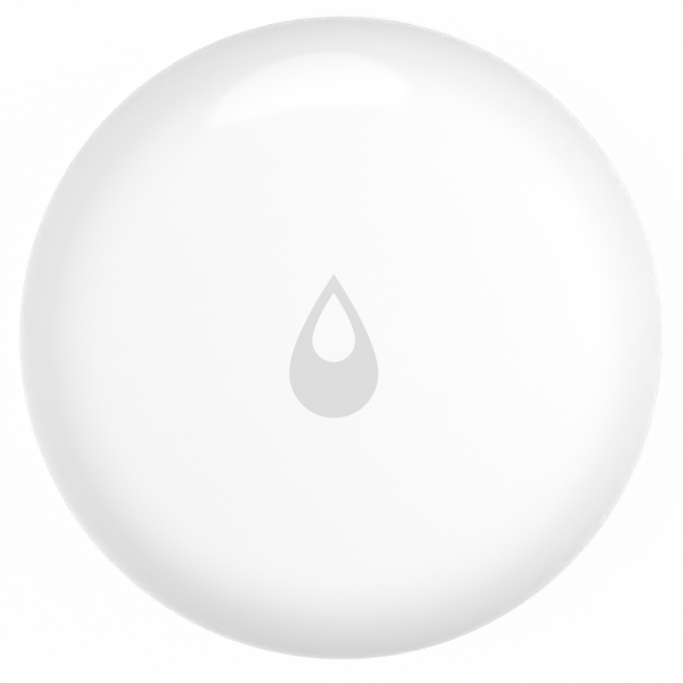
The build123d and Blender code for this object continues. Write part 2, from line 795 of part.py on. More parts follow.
# Positive contact: a strip from the board's underside down beside the cell's can
strip_y = -(cell_radius + contact_gap)

with BuildPart() as positive_contact:
    with BuildSketch(Plane.YZ):
        with BuildLine():
            leg = [(strip_y - contact_foot, shelf_top), (strip_y, shelf_top),
                   (strip_y, shelf_top - positive_depth)]
            Polyline(*strip_outline(leg, strip_thickness), close=True)
        make_face()
    extrude(amount=contact_width / 2, both=True)
save(positive_contact, "positive_contact")

# Probe springs: bent strips from the board's underside down to the tops of the probes
spring_low = probe_top + contact_gap
spring_half = probe_spring_length / 2
spring_waist = (shelf_top + spring_low) / 2

with BuildPart() as probe_springs:
    for side in probe_sides:
        with BuildSketch(Plane.YZ.offset(side * probe_radius)):
            with BuildLine():
                leaf = [(spring_half / 2, spring_waist - probe_shank_radius / 2),
                        (probe_shank_radius / 2, spring_low),
                        (-probe_shank_radius / 2, spring_low),
                        (-spring_half, spring_waist),
                        (-spring_half / 2, shelf_top - strip_thickness),
                        (spring_half, shelf_top - strip_thickness)]
                Polyline(*strip_outline(leaf, strip_thickness), close=True)
            make_face()
        extrude(amount=probe_spring_width / 2, both=True)
save(probe_springs, "probe_springs")

# Battery cover: a plug with a flange, three screw lugs, a coin slot and the bosses of the probes
seal_seat_radius = well_radius - cover_seal_gap - cover_seal_section - seal_seat_gap
seal_groove_bottom = cover_seal_middle - cover_seal_section / 2 - seal_side_gap
seal_groove_top = cover_seal_middle + cover_seal_section / 2 + seal_side_gap
locator_top = plate_top + locator_height
lug_rise = cover_lead * lug_arc / 360
lug_root = plug_wall / 4
lug_start = lug_middle - lug_rise / 2

with BuildPart() as lug:
    with BuildLine():
        Helix(pitch=cover_lead, height=lug_rise, radius=plug_radius, center=(0, 0, lug_start))
    with BuildSketch(Plane.XZ):
        with Locations((plug_radius + (lug_reach - lug_root) / 2, lug_start)):
            Rectangle(lug_reach + lug_root, lug_height)
    sweep(is_frenet=True)

with BuildPart() as battery_cover:
    with BuildSketch(Plane.XZ):
        with BuildLine():
            Polyline((0, underside), (flange_radius, underside), (flange_radius, flange_top),
                     (plug_radius, flange_top), (plug_radius, seal_groove_bottom),
                     (seal_seat_radius, seal_groove_bottom), (seal_seat_radius, seal_groove_top),
                     (plug_radius, seal_groove_top), (plug_radius, plug_top),
                     (plug_inner_radius, plug_top), (plug_inner_radius, plate_top),
                     (locator_outer_radius, plate_top), (locator_outer_radius, locator_top),
                     (locator_inner_radius, locator_top), (locator_inner_radius, plate_top),
                     (0, plate_top), close=True)
        make_face()
    revolve(axis=Axis.Z)
    with BuildSketch(Plane.XY.offset(plate_top)):
        with Locations(*probe_places):
            Circle(probe_boss_radius)
    extrude(amount=probe_boss_height)
    with BuildSketch(Plane.XY.offset(underside)):
        with Locations(*probe_places):
            Circle(probe_head_radius + counterbore_clearance)
    extrude(amount=counterbore_top - underside, mode=Mode.SUBTRACT)
    with BuildSketch(Plane.XY.offset(underside)):
        with Locations(*probe_places):
            Circle(probe_shank_radius + probe_hole_clearance)
    extrude(amount=boss_top - underside, mode=Mode.SUBTRACT)
    with BuildSketch(Plane.XY.offset(boss_top - insert_length)):
        with Locations(*probe_places):
            Circle(insert_radius)
    extrude(amount=insert_length, mode=Mode.SUBTRACT)
    with BuildSketch(Plane.XY.offset(underside)):
        SlotOverall(coin_slot_length, coin_slot_width, rotation=90)
    extrude(amount=coin_slot_depth, mode=Mode.SUBTRACT)
    with BuildSketch(Plane.XY.offset(underside)):
        with Locations(on_ring(flange_radius - arrow_edge_gap - arrow_length / 2, closed_angle)):
            with BuildLine():
                Polyline((-arrow_width / 2, arrow_length / 2), (arrow_width / 2, arrow_length / 2),
                         (0, -arrow_length / 2), close=True)
            make_face()
    extrude(amount=mark_depth, mode=Mode.SUBTRACT)
    for angle in lug_angles:
        add(lug.part, rotation=(0, 0, angle - lug_arc / 2))
save(battery_cover, "battery_cover")

# Cover seal in the groove round the plug
with BuildPart() as cover_seal:
    with BuildSketch(Plane.XZ):
        with Locations((well_radius - cover_seal_gap - cover_seal_section / 2, cover_seal_middle)):
            Circle(cover_seal_section / 2)
    revolve(axis=Axis.Z)
save(cover_seal, "cover_seal")

# Battery pad: foam on the cover that pushes the cell up against its contact
with BuildPart() as battery_pad:
    with BuildSketch(Plane.XY.offset(plate_top)):
        Circle(pad_radius)
    extrude(amount=pad_thickness)
save(battery_pad, "battery_pad")

# Probes: the two screws whose heads feel the water, each with a seal and a brass insert
for side, name in zip(probe_sides, ("left_probe", "right_probe")):
    with BuildPart() as probe:
        with BuildSketch(Plane.XY.offset(probe_head_bottom)):
            with Locations((side * probe_radius, 0)):
                Circle(probe_head_radius)
        extrude(amount=probe_head_height)
        fillet(probe.edges().filter_by(GeomType.CIRCLE).group_by(Axis.Z)[0], radius=probe_head_round)
        with BuildSketch(Plane.XY.offset(probe_head_bottom)):
            with Locations((side * probe_radius, 0)):
                draw_cross(probe_head_radius)
        extrude(amount=probe_head_height * recess_depth_share, mode=Mode.SUBTRACT)
        with BuildSketch(Plane.XY.offset(probe_head_top)):
            with Locations((side * probe_radius, 0)):
                Circle(probe_shank_radius)
        extrude(amount=probe_top - probe_head_top)
    save(probe, name)

with BuildPart() as probe_seals:
    for side in probe_sides:
        ring_place = (side * probe_radius + probe_seal_radius, probe_head_top + probe_seal_section / 2)
        with BuildSketch(Plane.XZ):
            with Locations(ring_place):
                Circle(probe_seal_section / 2 - seal_seat_gap)
        revolve(axis=Axis((side * probe_radius, 0, 0), (0, 0, 1)))
save(probe_seals, "probe_seals")

with BuildPart() as probe_inserts:
    with BuildSketch(Plane.XY.offset(boss_top - insert_length)):
        with Locations(*probe_places):
            Circle(insert_radius)
            Circle(probe_shank_radius + insert_clearance, mode=Mode.SUBTRACT)
    extrude(amount=insert_length)
save(probe_inserts, "probe_inserts")
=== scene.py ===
import bpy
import json
import math
import numpy as np
from mathutils import Matrix, Quaternion, Vector


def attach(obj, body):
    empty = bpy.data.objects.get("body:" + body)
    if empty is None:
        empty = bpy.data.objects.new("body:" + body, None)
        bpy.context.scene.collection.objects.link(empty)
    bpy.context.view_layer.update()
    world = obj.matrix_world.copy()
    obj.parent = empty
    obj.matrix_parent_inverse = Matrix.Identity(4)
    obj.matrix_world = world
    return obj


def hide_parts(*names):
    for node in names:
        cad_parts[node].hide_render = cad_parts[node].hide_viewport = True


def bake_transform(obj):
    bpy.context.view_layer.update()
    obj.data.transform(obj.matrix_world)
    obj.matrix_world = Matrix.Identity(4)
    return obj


# Water leak sensor: glossy white puck, press button on top, coin cell cover with two probes underneath.
# Lengths are millimetres and become metres when a mesh is made. Heights count from the floor.

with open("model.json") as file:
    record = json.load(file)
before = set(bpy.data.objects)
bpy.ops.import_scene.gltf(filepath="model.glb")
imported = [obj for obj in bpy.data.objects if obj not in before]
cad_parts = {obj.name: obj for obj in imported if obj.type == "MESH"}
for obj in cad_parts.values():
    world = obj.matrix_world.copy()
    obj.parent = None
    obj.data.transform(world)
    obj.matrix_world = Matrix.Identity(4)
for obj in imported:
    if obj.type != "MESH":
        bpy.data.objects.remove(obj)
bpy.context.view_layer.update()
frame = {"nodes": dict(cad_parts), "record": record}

MM = 0.001
AROUND = 288               # steps round the puck
OVERRUN = 0.3              # how far a cutter stands out of the face that it cuts
HOLD_SHARE = 1.25          # place of the points that hold the flats, in eases from the corner

# Puck and cap
PUCK_HEIGHT = 15.0
OUTER_RADIUS = 25.0
UNDERSIDE = 0.8
CROWN_RADIUS = 150.0
CAP_BOTTOM = 4.75
CAP_WALL = 1.5
UPRIGHT_SIDE = 1.23
SHOULDER_HEIGHT = CAP_BOTTOM + UPRIGHT_SIDE
CROWN_CENTRE = PUCK_HEIGHT - CROWN_RADIUS
SHOULDER_RISE = SHOULDER_HEIGHT - CROWN_CENTRE
CROWN_EXCESS = CROWN_RADIUS**2 - OUTER_RADIUS**2 - SHOULDER_RISE**2
SHOULDER_RADIUS = CROWN_EXCESS / (2 * (CROWN_RADIUS - OUTER_RADIUS))
SHOULDER_CENTRE = OUTER_RADIUS - SHOULDER_RADIUS
SHOULDER_TILT = math.asin(SHOULDER_CENTRE / (CROWN_RADIUS - SHOULDER_RADIUS))

# Rings of screws, feet, lugs and probes
PROBE_CENTRE = 12.6
PROBE_SPOTS = {"left": (-PROBE_CENTRE, 0), "right": (PROBE_CENTRE, 0)}
SCREW_RING = 13.1
SCREW_ANGLES = (90, 210, 330)
FOOT_RING = 20.1
FOOT_ANGLES = (90, 210, 330)
LUG_ANGLES = (0, 120, 240)
LUG_ARC = 14
LUG_MIDDLE = 3.5
COVER_LEAD = 18.0


# Outlines in the plane of radius and height

def arc_points(centre, radius, first, last, count):
    """Points on a circle: centre + radius * (cos a, sin a), with a evenly from first to last in degrees."""
    angles = np.radians(np.linspace(first, last, count))
    return np.stack([centre[0] + radius * np.cos(angles), centre[1] + radius * np.sin(angles)], 1)


def eased(corners, steps=5):
    """Closed outline whose corners (x, y, ease) are rounded: a corner's round is the quadratic curve
    (1-t)^2 * before + 2t(1-t) * corner + t^2 * after, where before and after lie ease away along its sides.
    A point just past each end of the round keeps the flats next to it flat under smooth shading."""
    table = np.array(corners, float)
    place, ease = table[:, :2], table[:, 2:]
    back, ahead = np.roll(place, 1, 0) - place, np.roll(place, -1, 0) - place
    back /= np.linalg.norm(back, axis=1, keepdims=True)
    ahead /= np.linalg.norm(ahead, axis=1, keepdims=True)
    before, after = place + back * ease, place + ahead * ease
    t = np.linspace(0, 1, steps)[None, :, None]
    curve = (1 - t)**2 * before[:, None] + 2 * t * (1 - t) * place[:, None] + t**2 * after[:, None]
    lead, trail = place + back * ease * HOLD_SHARE, place + ahead * ease * HOLD_SHARE
    rows = np.concatenate([lead[:, None], curve, trail[:, None]], 1)
    kept = [row if size else row[:1] for row, size in zip(rows, table[:, 2])]
    return np.concatenate(kept)


def eased_box(middle, sides, ease, steps=5):
    """Rectangle with eased corners round the middle."""
    half = np.array(sides) / 2
    signs = np.array([(-1, -1), (1, -1), (1, 1), (-1, 1)])
    return eased(np.column_stack([middle + signs * half, np.full(4, ease)]), steps)


def helix_sections(loop, first, last, lead, count):
    """Sections of a solid turned about +Z: the loop's point (r, z) at angle a stands at
    (r cos a, r sin a, z + lead * (a - first) / 360), with a from first to last in degrees."""
    angles = np.linspace(first, last, count)[:, None]
    turn = np.radians(angles)
    reach, height = loop[None, :, 0], loop[None, :, 1]
    rise = lead * (angles - first) / 360
    return np.stack([reach * np.cos(turn), reach * np.sin(turn), height + rise], 2)


def upright_sections(loop, levels):
    """Sections of an upright solid: the loop's (x, y), grown away from its middle by a margin, at each
    level (z, margin)."""
    table = np.array(levels, float)
    middle = (loop.max(0) + loop.min(0)) / 2
    outward = loop - middle
    outward /= np.linalg.norm(outward, axis=1, keepdims=True)
    flat = loop[None] + outward[None] * table[:, 1][:, None, None]
    height = np.broadcast_to(table[:, 0][:, None, None], (len(table), len(loop), 1))
    return np.concatenate([flat, height], 2)


# Meshes

def grid_faces(rows, columns, close_rows, close_columns):
    """Quads of a grid whose point in row i and column j has the number i * columns + j."""
    i = np.arange(rows if close_rows else rows - 1)[:, None]
    j = np.arange(columns if close_columns else columns - 1)[None, :]
    right, up = (j + 1) % columns, (i + 1) % rows
    quads = [i * columns + j, i * columns + right, up * columns + right, up * columns + j]
    return np.stack([np.broadcast_to(corner, (i.size, j.size)) for corner in quads], 2).reshape(-1, 4)


def turned(outline, centre=(0, 0), around=AROUND):
    """Surface of revolution: outline point (r, z) and angle a give (cx + r cos a, cy + r sin a, z).
    An outline that starts and ends on the axis is closed there by a fan of triangles at each pole."""
    outline = np.asarray(outline, float)
    x, y = outline.T
    area = np.sum(x * np.roll(y, -1) - np.roll(x, -1) * y)
    if area < 0:
        outline = outline[::-1]
    poles = outline[0, 0] == 0
    rings = outline[1:-1] if poles else outline
    angles = np.linspace(0, 2 * math.pi, around, endpoint=False)
    reach, height = rings[:, 0][:, None], np.repeat(rings[:, 1][:, None], around, 1)
    points = np.stack([centre[0] + reach * np.cos(angles), centre[1] + reach * np.sin(angles), height], 2)
    points = points.reshape(-1, 3)
    quads = grid_faces(len(rings), around, not poles, True)
    if not poles:
        return points, quads.tolist()
    ends = np.array([[*centre, outline[0, 1]], [*centre, outline[-1, 1]]])
    low, high = len(points), len(points) + 1
    j = np.arange(around)
    right = (j + 1) % around
    top_row = (len(rings) - 1) * around
    bottom = np.stack([np.full(around, low), right, j], 1)
    top = np.stack([np.full(around, high), top_row + j, top_row + right], 1)
    return np.concatenate([points, ends]), quads.tolist() + bottom.tolist() + top.tolist()


def skinned(sections, ring=False):
    """Skin over sections, an array of loops of points: a closed ring of loops, or a run with a flat end
    each side. Faces are turned over where the volume, the sum of a . (b x c) over triangles, is negative."""
    count, around = sections.shape[:2]
    points = sections.reshape(-1, 3)
    quads = grid_faces(count, around, ring, True)
    corners = points[quads] - points.mean(0)
    a, b, c, d = (corners[:, k] for k in range(4))
    volume = np.einsum("ij,ij->", a, np.cross(b, c)) + np.einsum("ij,ij->", a, np.cross(c, d))
    faces = quads.tolist()
    if not ring:
        faces += [list(range(around))[::-1], [(count - 1) * around + k for k in range(around)]]
    return points, [face[::-1] for face in faces] if volume < 0 else faces


def joined(*shapes):
    """Several shapes as one list of points and faces."""
    points, faces, start = [], [], 0
    for place, polygons in shapes:
        points.append(place)
        faces += [[k + start for k in polygon] for polygon in polygons]
        start += len(place)
    return np.concatenate(points), faces


def mesh_object(name, shape):
    """Object at the origin with the shape's points, in metres."""
    points, faces = shape
    mesh = bpy.data.meshes.new(name)
    mesh.from_pydata((points * MM).tolist(), [], faces)
    mesh.update()
    piece = bpy.data.objects.new(name, mesh)
    bpy.context.scene.collection.objects.link(piece)
    return piece


def carve(piece, cutters):
    """Takes the cutters' closed shapes out of the piece with the exact Boolean, and keeps the result."""
    for k, shape in enumerate(cutters):
        tool = mesh_object(f"{piece.name}_tool_{k}", shape)
        cut = piece.modifiers.new("cut", "BOOLEAN")
        cut.operation, cut.solver, cut.object = "DIFFERENCE", "EXACT", tool
    graph = bpy.context.evaluated_depsgraph_get()
    result = bpy.data.meshes.new_from_object(piece.evaluated_get(graph))
    tools = [modifier.object for modifier in piece.modifiers]
    piece.modifiers.clear()
    old, piece.data = piece.data, result
    bpy.data.meshes.remove(old)
    for tool in tools:
        bpy.data.meshes.remove(tool.data)
    result.name = piece.name


def shape_of(mesh):
    """Points, in millimetres, and faces of a mesh."""
    points = np.empty(len(mesh.vertices) * 3)
    mesh.vertices.foreach_get("co", points)
    corners = np.empty(len(mesh.loops), int)
    mesh.loops.foreach_get("vertex_index", corners)
    starts = np.empty(len(mesh.polygons), int)
    mesh.polygons.foreach_get("loop_start", starts)
    return points.reshape(-1, 3) / MM, [part.tolist() for part in np.split(corners, starts[1:])]


def make(name, shape, body, slot, nodes, cutters=(), added=(), sharp=40):
    """Finished piece: carved, with the added shapes joined on, smooth with sharp edges past the angle in
    degrees, riding on its body, if it has one, in place of its nodes."""
    piece = mesh_object(name, shape)
    if cutters:
        carve(piece, cutters)
    if added:
        carved = piece.data
        bpy.data.objects.remove(piece)
        piece = mesh_object(name, joined(shape_of(carved), *added))
        bpy.data.meshes.remove(carved)
    piece.data.materials.clear()
    piece.data.materials.append(finishes[slot])
    piece.data.polygons.foreach_set("use_smooth", np.ones(len(piece.data.polygons), bool))
    piece.data.set_sharp_from_angle(angle=math.radians(sharp))
    if body:
        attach(piece, body)
    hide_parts(*nodes)
    return piece


def polar(radius, angle):
    """Point at the radius and angle, in degrees, round the middle axis."""
    return radius * math.cos(math.radians(angle)), radius * math.sin(math.radians(angle))


# Shader nodes

def add_node(tree, kind, **settings):
    """Node of the kind with its properties set."""
    node = tree.nodes.new(kind)
    for key, value in settings.items():
        setattr(node, key, value)
    return node


def feed(tree, socket, value):
    """Links another node's socket to the socket, or sets a number, vector or colour on it."""
    if isinstance(value, bpy.types.NodeSocket):
        tree.links.new(value, socket)
    else:
        socket.default_value = value


def feed_inputs(tree, node, **values):
    """Feeds a node's inputs by name; an underscore stands for a space."""
    for key, value in values.items():
        feed(tree, node.inputs[key.replace("_", " ")], value)


def maths(tree, operation, *values):
    """Math node on sockets or numbers; returns its output."""
    node = add_node(tree, "ShaderNodeMath", operation=operation)
    for socket, value in zip(node.inputs, values):
        feed(tree, socket, value)
    return node.outputs[0]


def varied(tree, pattern, amount, base):
    """Base value that a pattern round 0.5 varies: (pattern - 0.5) * amount + base."""
    return maths(tree, "MULTIPLY_ADD", maths(tree, "SUBTRACT", pattern, 0.5), amount, base)


def spread(tree, value, low, high, to_low, to_high):
    """Map Range of a socket, clamped."""
    node = add_node(tree, "ShaderNodeMapRange")
    feed_inputs(tree, node, Value=value, From_Min=low, From_Max=high, To_Min=to_low, To_Max=to_high)
    return node.outputs["Result"]


def noise(tree, vector, scale, detail=3.0, rough=0.5):
    """Noise texture on a vector socket; returns its factor."""
    node = add_node(tree, "ShaderNodeTexNoise")
    feed_inputs(tree, node, Vector=vector, Scale=scale, Detail=detail, Roughness=rough)
    return node.outputs["Fac"]


def cell_pattern(tree, vector, scale):
    """Cell texture on a vector socket; returns its outputs."""
    node = add_node(tree, "ShaderNodeTexVoronoi", feature="F1")
    feed_inputs(tree, node, Vector=vector, Scale=scale)
    return node.outputs


def split_axes(tree, vector):
    """Sockets of a vector's x, y and z."""
    node = add_node(tree, "ShaderNodeSeparateXYZ")
    feed(tree, node.inputs[0], vector)
    return node.outputs


def mix_values(tree, factor, low, high):
    """Mix of two numbers by a factor; returns the number's socket."""
    node = add_node(tree, "ShaderNodeMix", data_type="FLOAT")
    for k, value in ((0, factor), (2, low), (3, high)):
        feed(tree, node.inputs[k], value)
    return node.outputs[0]


def mix_colours(tree, mask, low, high):
    """Mix of two colours, sockets or (red, green, blue), by a mask; returns the colour socket."""
    node = add_node(tree, "ShaderNodeMix", data_type="RGBA")
    feed(tree, node.inputs[0], mask)
    for k, value in ((6, low), (7, high)):
        feed(tree, node.inputs[k], (*value, 1) if isinstance(value, tuple) else value)
    return node.outputs[2]


def new_group(name, inputs, outputs):
    """Shader node group with inputs (name, kind, default) and outputs (name, kind): returns its tree, the
    sockets that give its inputs, and the node that takes its outputs."""
    tree = bpy.data.node_groups.new(name, "ShaderNodeTree")
    for title, kind, default in inputs:
        socket = tree.interface.new_socket(title, in_out="INPUT", socket_type="NodeSocket" + kind)
        if default is not None:
            socket.default_value = default
    for title, kind in outputs:
        tree.interface.new_socket(title, in_out="OUTPUT", socket_type="NodeSocket" + kind)
    return tree, add_node(tree, "NodeGroupInput").outputs, add_node(tree, "NodeGroupOutput")


def build_moulded_skin():
    """Surface of a moulding: slow mottle in its colour, patches where it is a little less smooth, and a
    height that adds a long ripple (orange peel) to a fine spark-eroded grain."""
    tree, given, result = new_group(
        "moulded_skin",
        [("Position", "Vector", None), ("Colour", "Color", (0.8, 0.8, 0.8, 1)), ("Mottle", "Float", 0.02),
         ("Roughness", "Float", 0.3), ("Roughness Spread", "Float", 0.05), ("Peel", "Float", 0.5),
         ("Grain Scale", "Float", 4000.0), ("Grain", "Float", 0.5)],
        [("Colour", "Color"), ("Roughness", "Float"), ("Height", "Float")])
    slow = noise(tree, given["Position"], 90.0, 2.0)
    patch = noise(tree, given["Position"], 420.0, 4.0, 0.6)
    ripple = noise(tree, given["Position"], 560.0, 1.0)
    grain = noise(tree, given["Position"], given["Grain Scale"], 3.0, 0.7)
    tint = add_node(tree, "ShaderNodeVectorMath", operation="SCALE")
    feed(tree, tint.inputs[0], given["Colour"])
    feed_inputs(tree, tint, Scale=varied(tree, slow, given["Mottle"], 1.0))
    peel = maths(tree, "MULTIPLY", ripple, given["Peel"])
    feed_inputs(tree, result, Colour=tint.outputs[0],
                Roughness=varied(tree, patch, given["Roughness Spread"], given["Roughness"]),
                Height=maths(tree, "MULTIPLY_ADD", grain, given["Grain"], peel))
    return tree


def build_tool_lines():
    """Metal worked on a lathe or brushed: rings round the axis through the Position's origin, or straight
    lines along X where Straight is 1. The lines are noise stretched along them; the mask varies from line to
    line."""
    tree, given, result = new_group(
        "tool_lines",
        [("Position", "Vector", None), ("Straight", "Float", 0.0), ("Line Scale", "Float", 6000.0),
         ("Roughness", "Float", 0.25), ("Roughness Spread", "Float", 0.1)],
        [("Mask", "Float"), ("Roughness", "Float"), ("Height", "Float")])
    x, y, z = split_axes(tree, given["Position"])
    square = maths(tree, "ADD", maths(tree, "MULTIPLY", x, x), maths(tree, "MULTIPLY", y, y))
    across = mix_values(tree, given["Straight"], maths(tree, "SQRT", square), y)
    place = add_node(tree, "ShaderNodeCombineXYZ")
    feed_inputs(tree, place, X=maths(tree, "ADD", across, z), Y=maths(tree, "MULTIPLY", x, 0.02))
    lines = noise(tree, place.outputs[0], given["Line Scale"], 2.0, 0.7)
    broad = noise(tree, given["Position"], 700.0, 3.0, 0.6)
    mask = maths(tree, "MULTIPLY_ADD", lines, 0.7, maths(tree, "MULTIPLY", broad, 0.3))
    feed_inputs(tree, result, Mask=mask, Height=lines,
                Roughness=varied(tree, mask, given["Roughness Spread"], given["Roughness"]))
    return tree


def build_fine_wear():
    """Handling marks: thin hairlines where two stretched noises cross their middle value, and sparse dust
    specks from a cell pattern. Both are masks from 0 to 1."""
    tree, given, result = new_group(
        "fine_wear",
        [("Position", "Vector", None), ("Hairlines", "Float", 0.3), ("Dust", "Float", 0.3)],
        [("Hairlines", "Float"), ("Dust", "Float")])
    lines = []
    for turn, stretch in ((0.5, 0.04), (2.1, 0.05)):
        place = add_node(tree, "ShaderNodeMapping")
        feed_inputs(tree, place, Vector=given["Position"], Rotation=(0.3 * turn, 0.2, turn),
                    Scale=(1, stretch, 1))
        wave = noise(tree, place.outputs[0], 900.0, 1.0)
        near = maths(tree, "ABSOLUTE", maths(tree, "SUBTRACT", wave, 0.5))
        lines.append(spread(tree, near, 0.0, 0.006, 1.0, 0.0))
    where = spread(tree, noise(tree, given["Position"], 150.0, 2.0), 0.52, 0.64, 0.0, 1.0)
    marks = maths(tree, "MULTIPLY", maths(tree, "MAXIMUM", *lines), where)
    cells = cell_pattern(tree, given["Position"], 450.0)
    parts = add_node(tree, "ShaderNodeSeparateColor")
    feed(tree, parts.inputs[0], cells["Color"])
    chosen = maths(tree, "GREATER_THAN", parts.outputs[0], 0.9)
    speck = spread(tree, cells["Distance"], 0.02, 0.05, 1.0, 0.0)
    feed_inputs(tree, result, Hairlines=maths(tree, "MULTIPLY", marks, given["Hairlines"]),
                Dust=maths(tree, "MULTIPLY", maths(tree, "MULTIPLY", speck, chosen), given["Dust"]))
    return tree


moulded_skin = build_moulded_skin()
tool_lines = build_tool_lines()
fine_wear = build_fine_wear()


def place_group(tree, group, **values):
    """Group node with its inputs fed; returns its outputs."""
    node = add_node(tree, "ShaderNodeGroup", node_tree=group)
    feed_inputs(tree, node, **values)
    return node.outputs


def start_finish(name, centre=(0, 0, 0)):
    """Material with its Principled shader and a position, in object space, measured from the centre."""
    material = bpy.data.materials.new(name)
    material.use_nodes = True
    tree = material.node_tree
    place = add_node(tree, "ShaderNodeMapping")
    feed_inputs(tree, place, Vector=add_node(tree, "ShaderNodeTexCoord").outputs["Object"],
                Location=[-value * MM for value in centre])
    return material, tree, tree.nodes["Principled BSDF"], place.outputs[0]


def bumped(tree, height, depth):
    """Normal from a bump of a height socket, the depth in millimetres."""
    node = add_node(tree, "ShaderNodeBump")
    feed_inputs(tree, node, Height=height, Strength=1.0, Distance=depth * MM)
    return node.outputs[0]


def plastic(name, colour, rough, rough_spread=0.05, mottle=0.03, peel=0.0, grain=1.0, grain_scale=5000.0,
            depth=0.004, hairlines=0.2, dust=0.2, wear_colour=None, subsurface=0.0):
    """Moulded plastic or rubber: the moulded skin, with hairlines a little rougher than it, and dust."""
    material, tree, shader, position = start_finish(name)
    skin = place_group(tree, moulded_skin, Position=position, Colour=(*colour, 1), Mottle=mottle,
                       Roughness=rough, Roughness_Spread=rough_spread, Peel=peel, Grain_Scale=grain_scale,
                       Grain=grain)
    wear = place_group(tree, fine_wear, Position=position, Hairlines=hairlines, Dust=dust)
    worn = wear_colour or tuple(0.5 * value + 0.3 for value in colour)
    feed_inputs(tree, shader, Base_Color=mix_colours(tree, wear["Dust"], skin["Colour"], worn),
                Roughness=maths(tree, "MULTIPLY_ADD", wear["Hairlines"], 0.3, skin["Roughness"]),
                Normal=bumped(tree, skin["Height"], depth))
    if subsurface:
        feed_inputs(tree, shader, Subsurface_Weight=subsurface, Subsurface_Scale=1.0,
                    Subsurface_Radius=(0.6 * MM, 0.55 * MM, 0.5 * MM))
    return material


def metal(name, colour, rough, dark_share=0.75, straight=0.0, line_scale=9000.0, centre=(0, 0, 0)):
    """Worked metal: tool lines shade its colour and roughness, with handling hairlines over them."""
    material, tree, shader, position = start_finish(name, centre)
    lines = place_group(tree, tool_lines, Position=position, Straight=straight, Line_Scale=line_scale,
                        Roughness=rough, Roughness_Spread=0.16)
    wear = place_group(tree, fine_wear, Position=position, Hairlines=0.6, Dust=0.0)
    dark = tuple(value * dark_share for value in colour)
    feed_inputs(tree, shader, Base_Color=mix_colours(tree, lines["Mask"], dark, colour), Metallic=1.0,
                Roughness=maths(tree, "MULTIPLY_ADD", wear["Hairlines"], 0.25, lines["Roughness"]),
                Normal=bumped(tree, lines["Height"], 0.002))
    return material


def board_finish():
    """Solder mask over copper: straight tracks, 0.25 wide every 1.3, show as lighter, raised bands where a
    slow noise lets them through."""
    material, tree, shader, position = start_finish("board_green")
    skin = place_group(tree, moulded_skin, Position=position, Colour=(0.03, 0.25, 0.1, 1), Mottle=0.2,
                       Roughness=0.3, Roughness_Spread=0.1, Peel=0.2, Grain_Scale=3000.0, Grain=0.3)
    x, y = split_axes(tree, position)[:2]
    turned_way = spread(tree, noise(tree, position, 60.0, 0.0), 0.49, 0.51, 0.0, 1.0)
    wave = maths(tree, "PINGPONG", mix_values(tree, turned_way, x, y), 0.65 * MM)
    track = spread(tree, wave, 0.12 * MM, 0.15 * MM, 1.0, 0.0)
    shown = spread(tree, noise(tree, position, 110.0, 0.0), 0.45, 0.47, 0.0, 1.0)
    track = maths(tree, "MULTIPLY", track, shown)
    height = maths(tree, "MULTIPLY_ADD", skin["Height"], 0.1, track)
    feed_inputs(tree, shader, Base_Color=mix_colours(tree, track, skin["Colour"], (0.06, 0.36, 0.15)),
                Roughness=skin["Roughness"], Normal=bumped(tree, height, 0.02), Coat_Weight=0.3)
    return material


def foam_finish():
    """Open-cell foam: painted shade darkens the pores where a cell pattern's distance is small, and a bump
    sinks them.
    """
    material, tree, shader, position = start_finish("grey_foam")
    rim = spread(tree, cell_pattern(tree, position, 3200.0)["Distance"], 0.15, 0.55, 0.0, 1.0)
    slow = noise(tree, position, 500.0, 3.0)
    # painted shade in the pores, times a slow random tone of the foam
    shade = maths(tree, "MULTIPLY", rim, spread(tree, slow, 0.3, 0.7, 0.7, 1.0))
    feed_inputs(tree, shader, Base_Color=mix_colours(tree, shade, (0.12, 0.12, 0.125), (0.4, 0.4, 0.41)),
                Roughness=spread(tree, slow, 0.3, 0.7, 0.85, 0.98), Normal=bumped(tree, rim, 0.08),
                Sheen_Weight=0.15)
    return material


def clear_finish():
    """Clear moulded plastic with faint flow ripples and hairlines."""
    material, tree, shader, position = start_finish("clear_plastic")
    skin = place_group(tree, moulded_skin, Position=position, Colour=(0.93, 0.95, 0.96, 1), Mottle=0.02,
                       Roughness=0.06, Roughness_Spread=0.04, Peel=1.0, Grain_Scale=2500.0, Grain=0.1)
    wear = place_group(tree, fine_wear, Position=position, Hairlines=0.3, Dust=0.0)
    feed_inputs(tree, shader, Base_Color=skin["Colour"], Transmission_Weight=1.0, IOR=1.49,
                Roughness=maths(tree, "MULTIPLY_ADD", wear["Hairlines"], 0.3, skin["Roughness"]),
                Normal=bumped(tree, skin["Height"], 0.003))
    return material


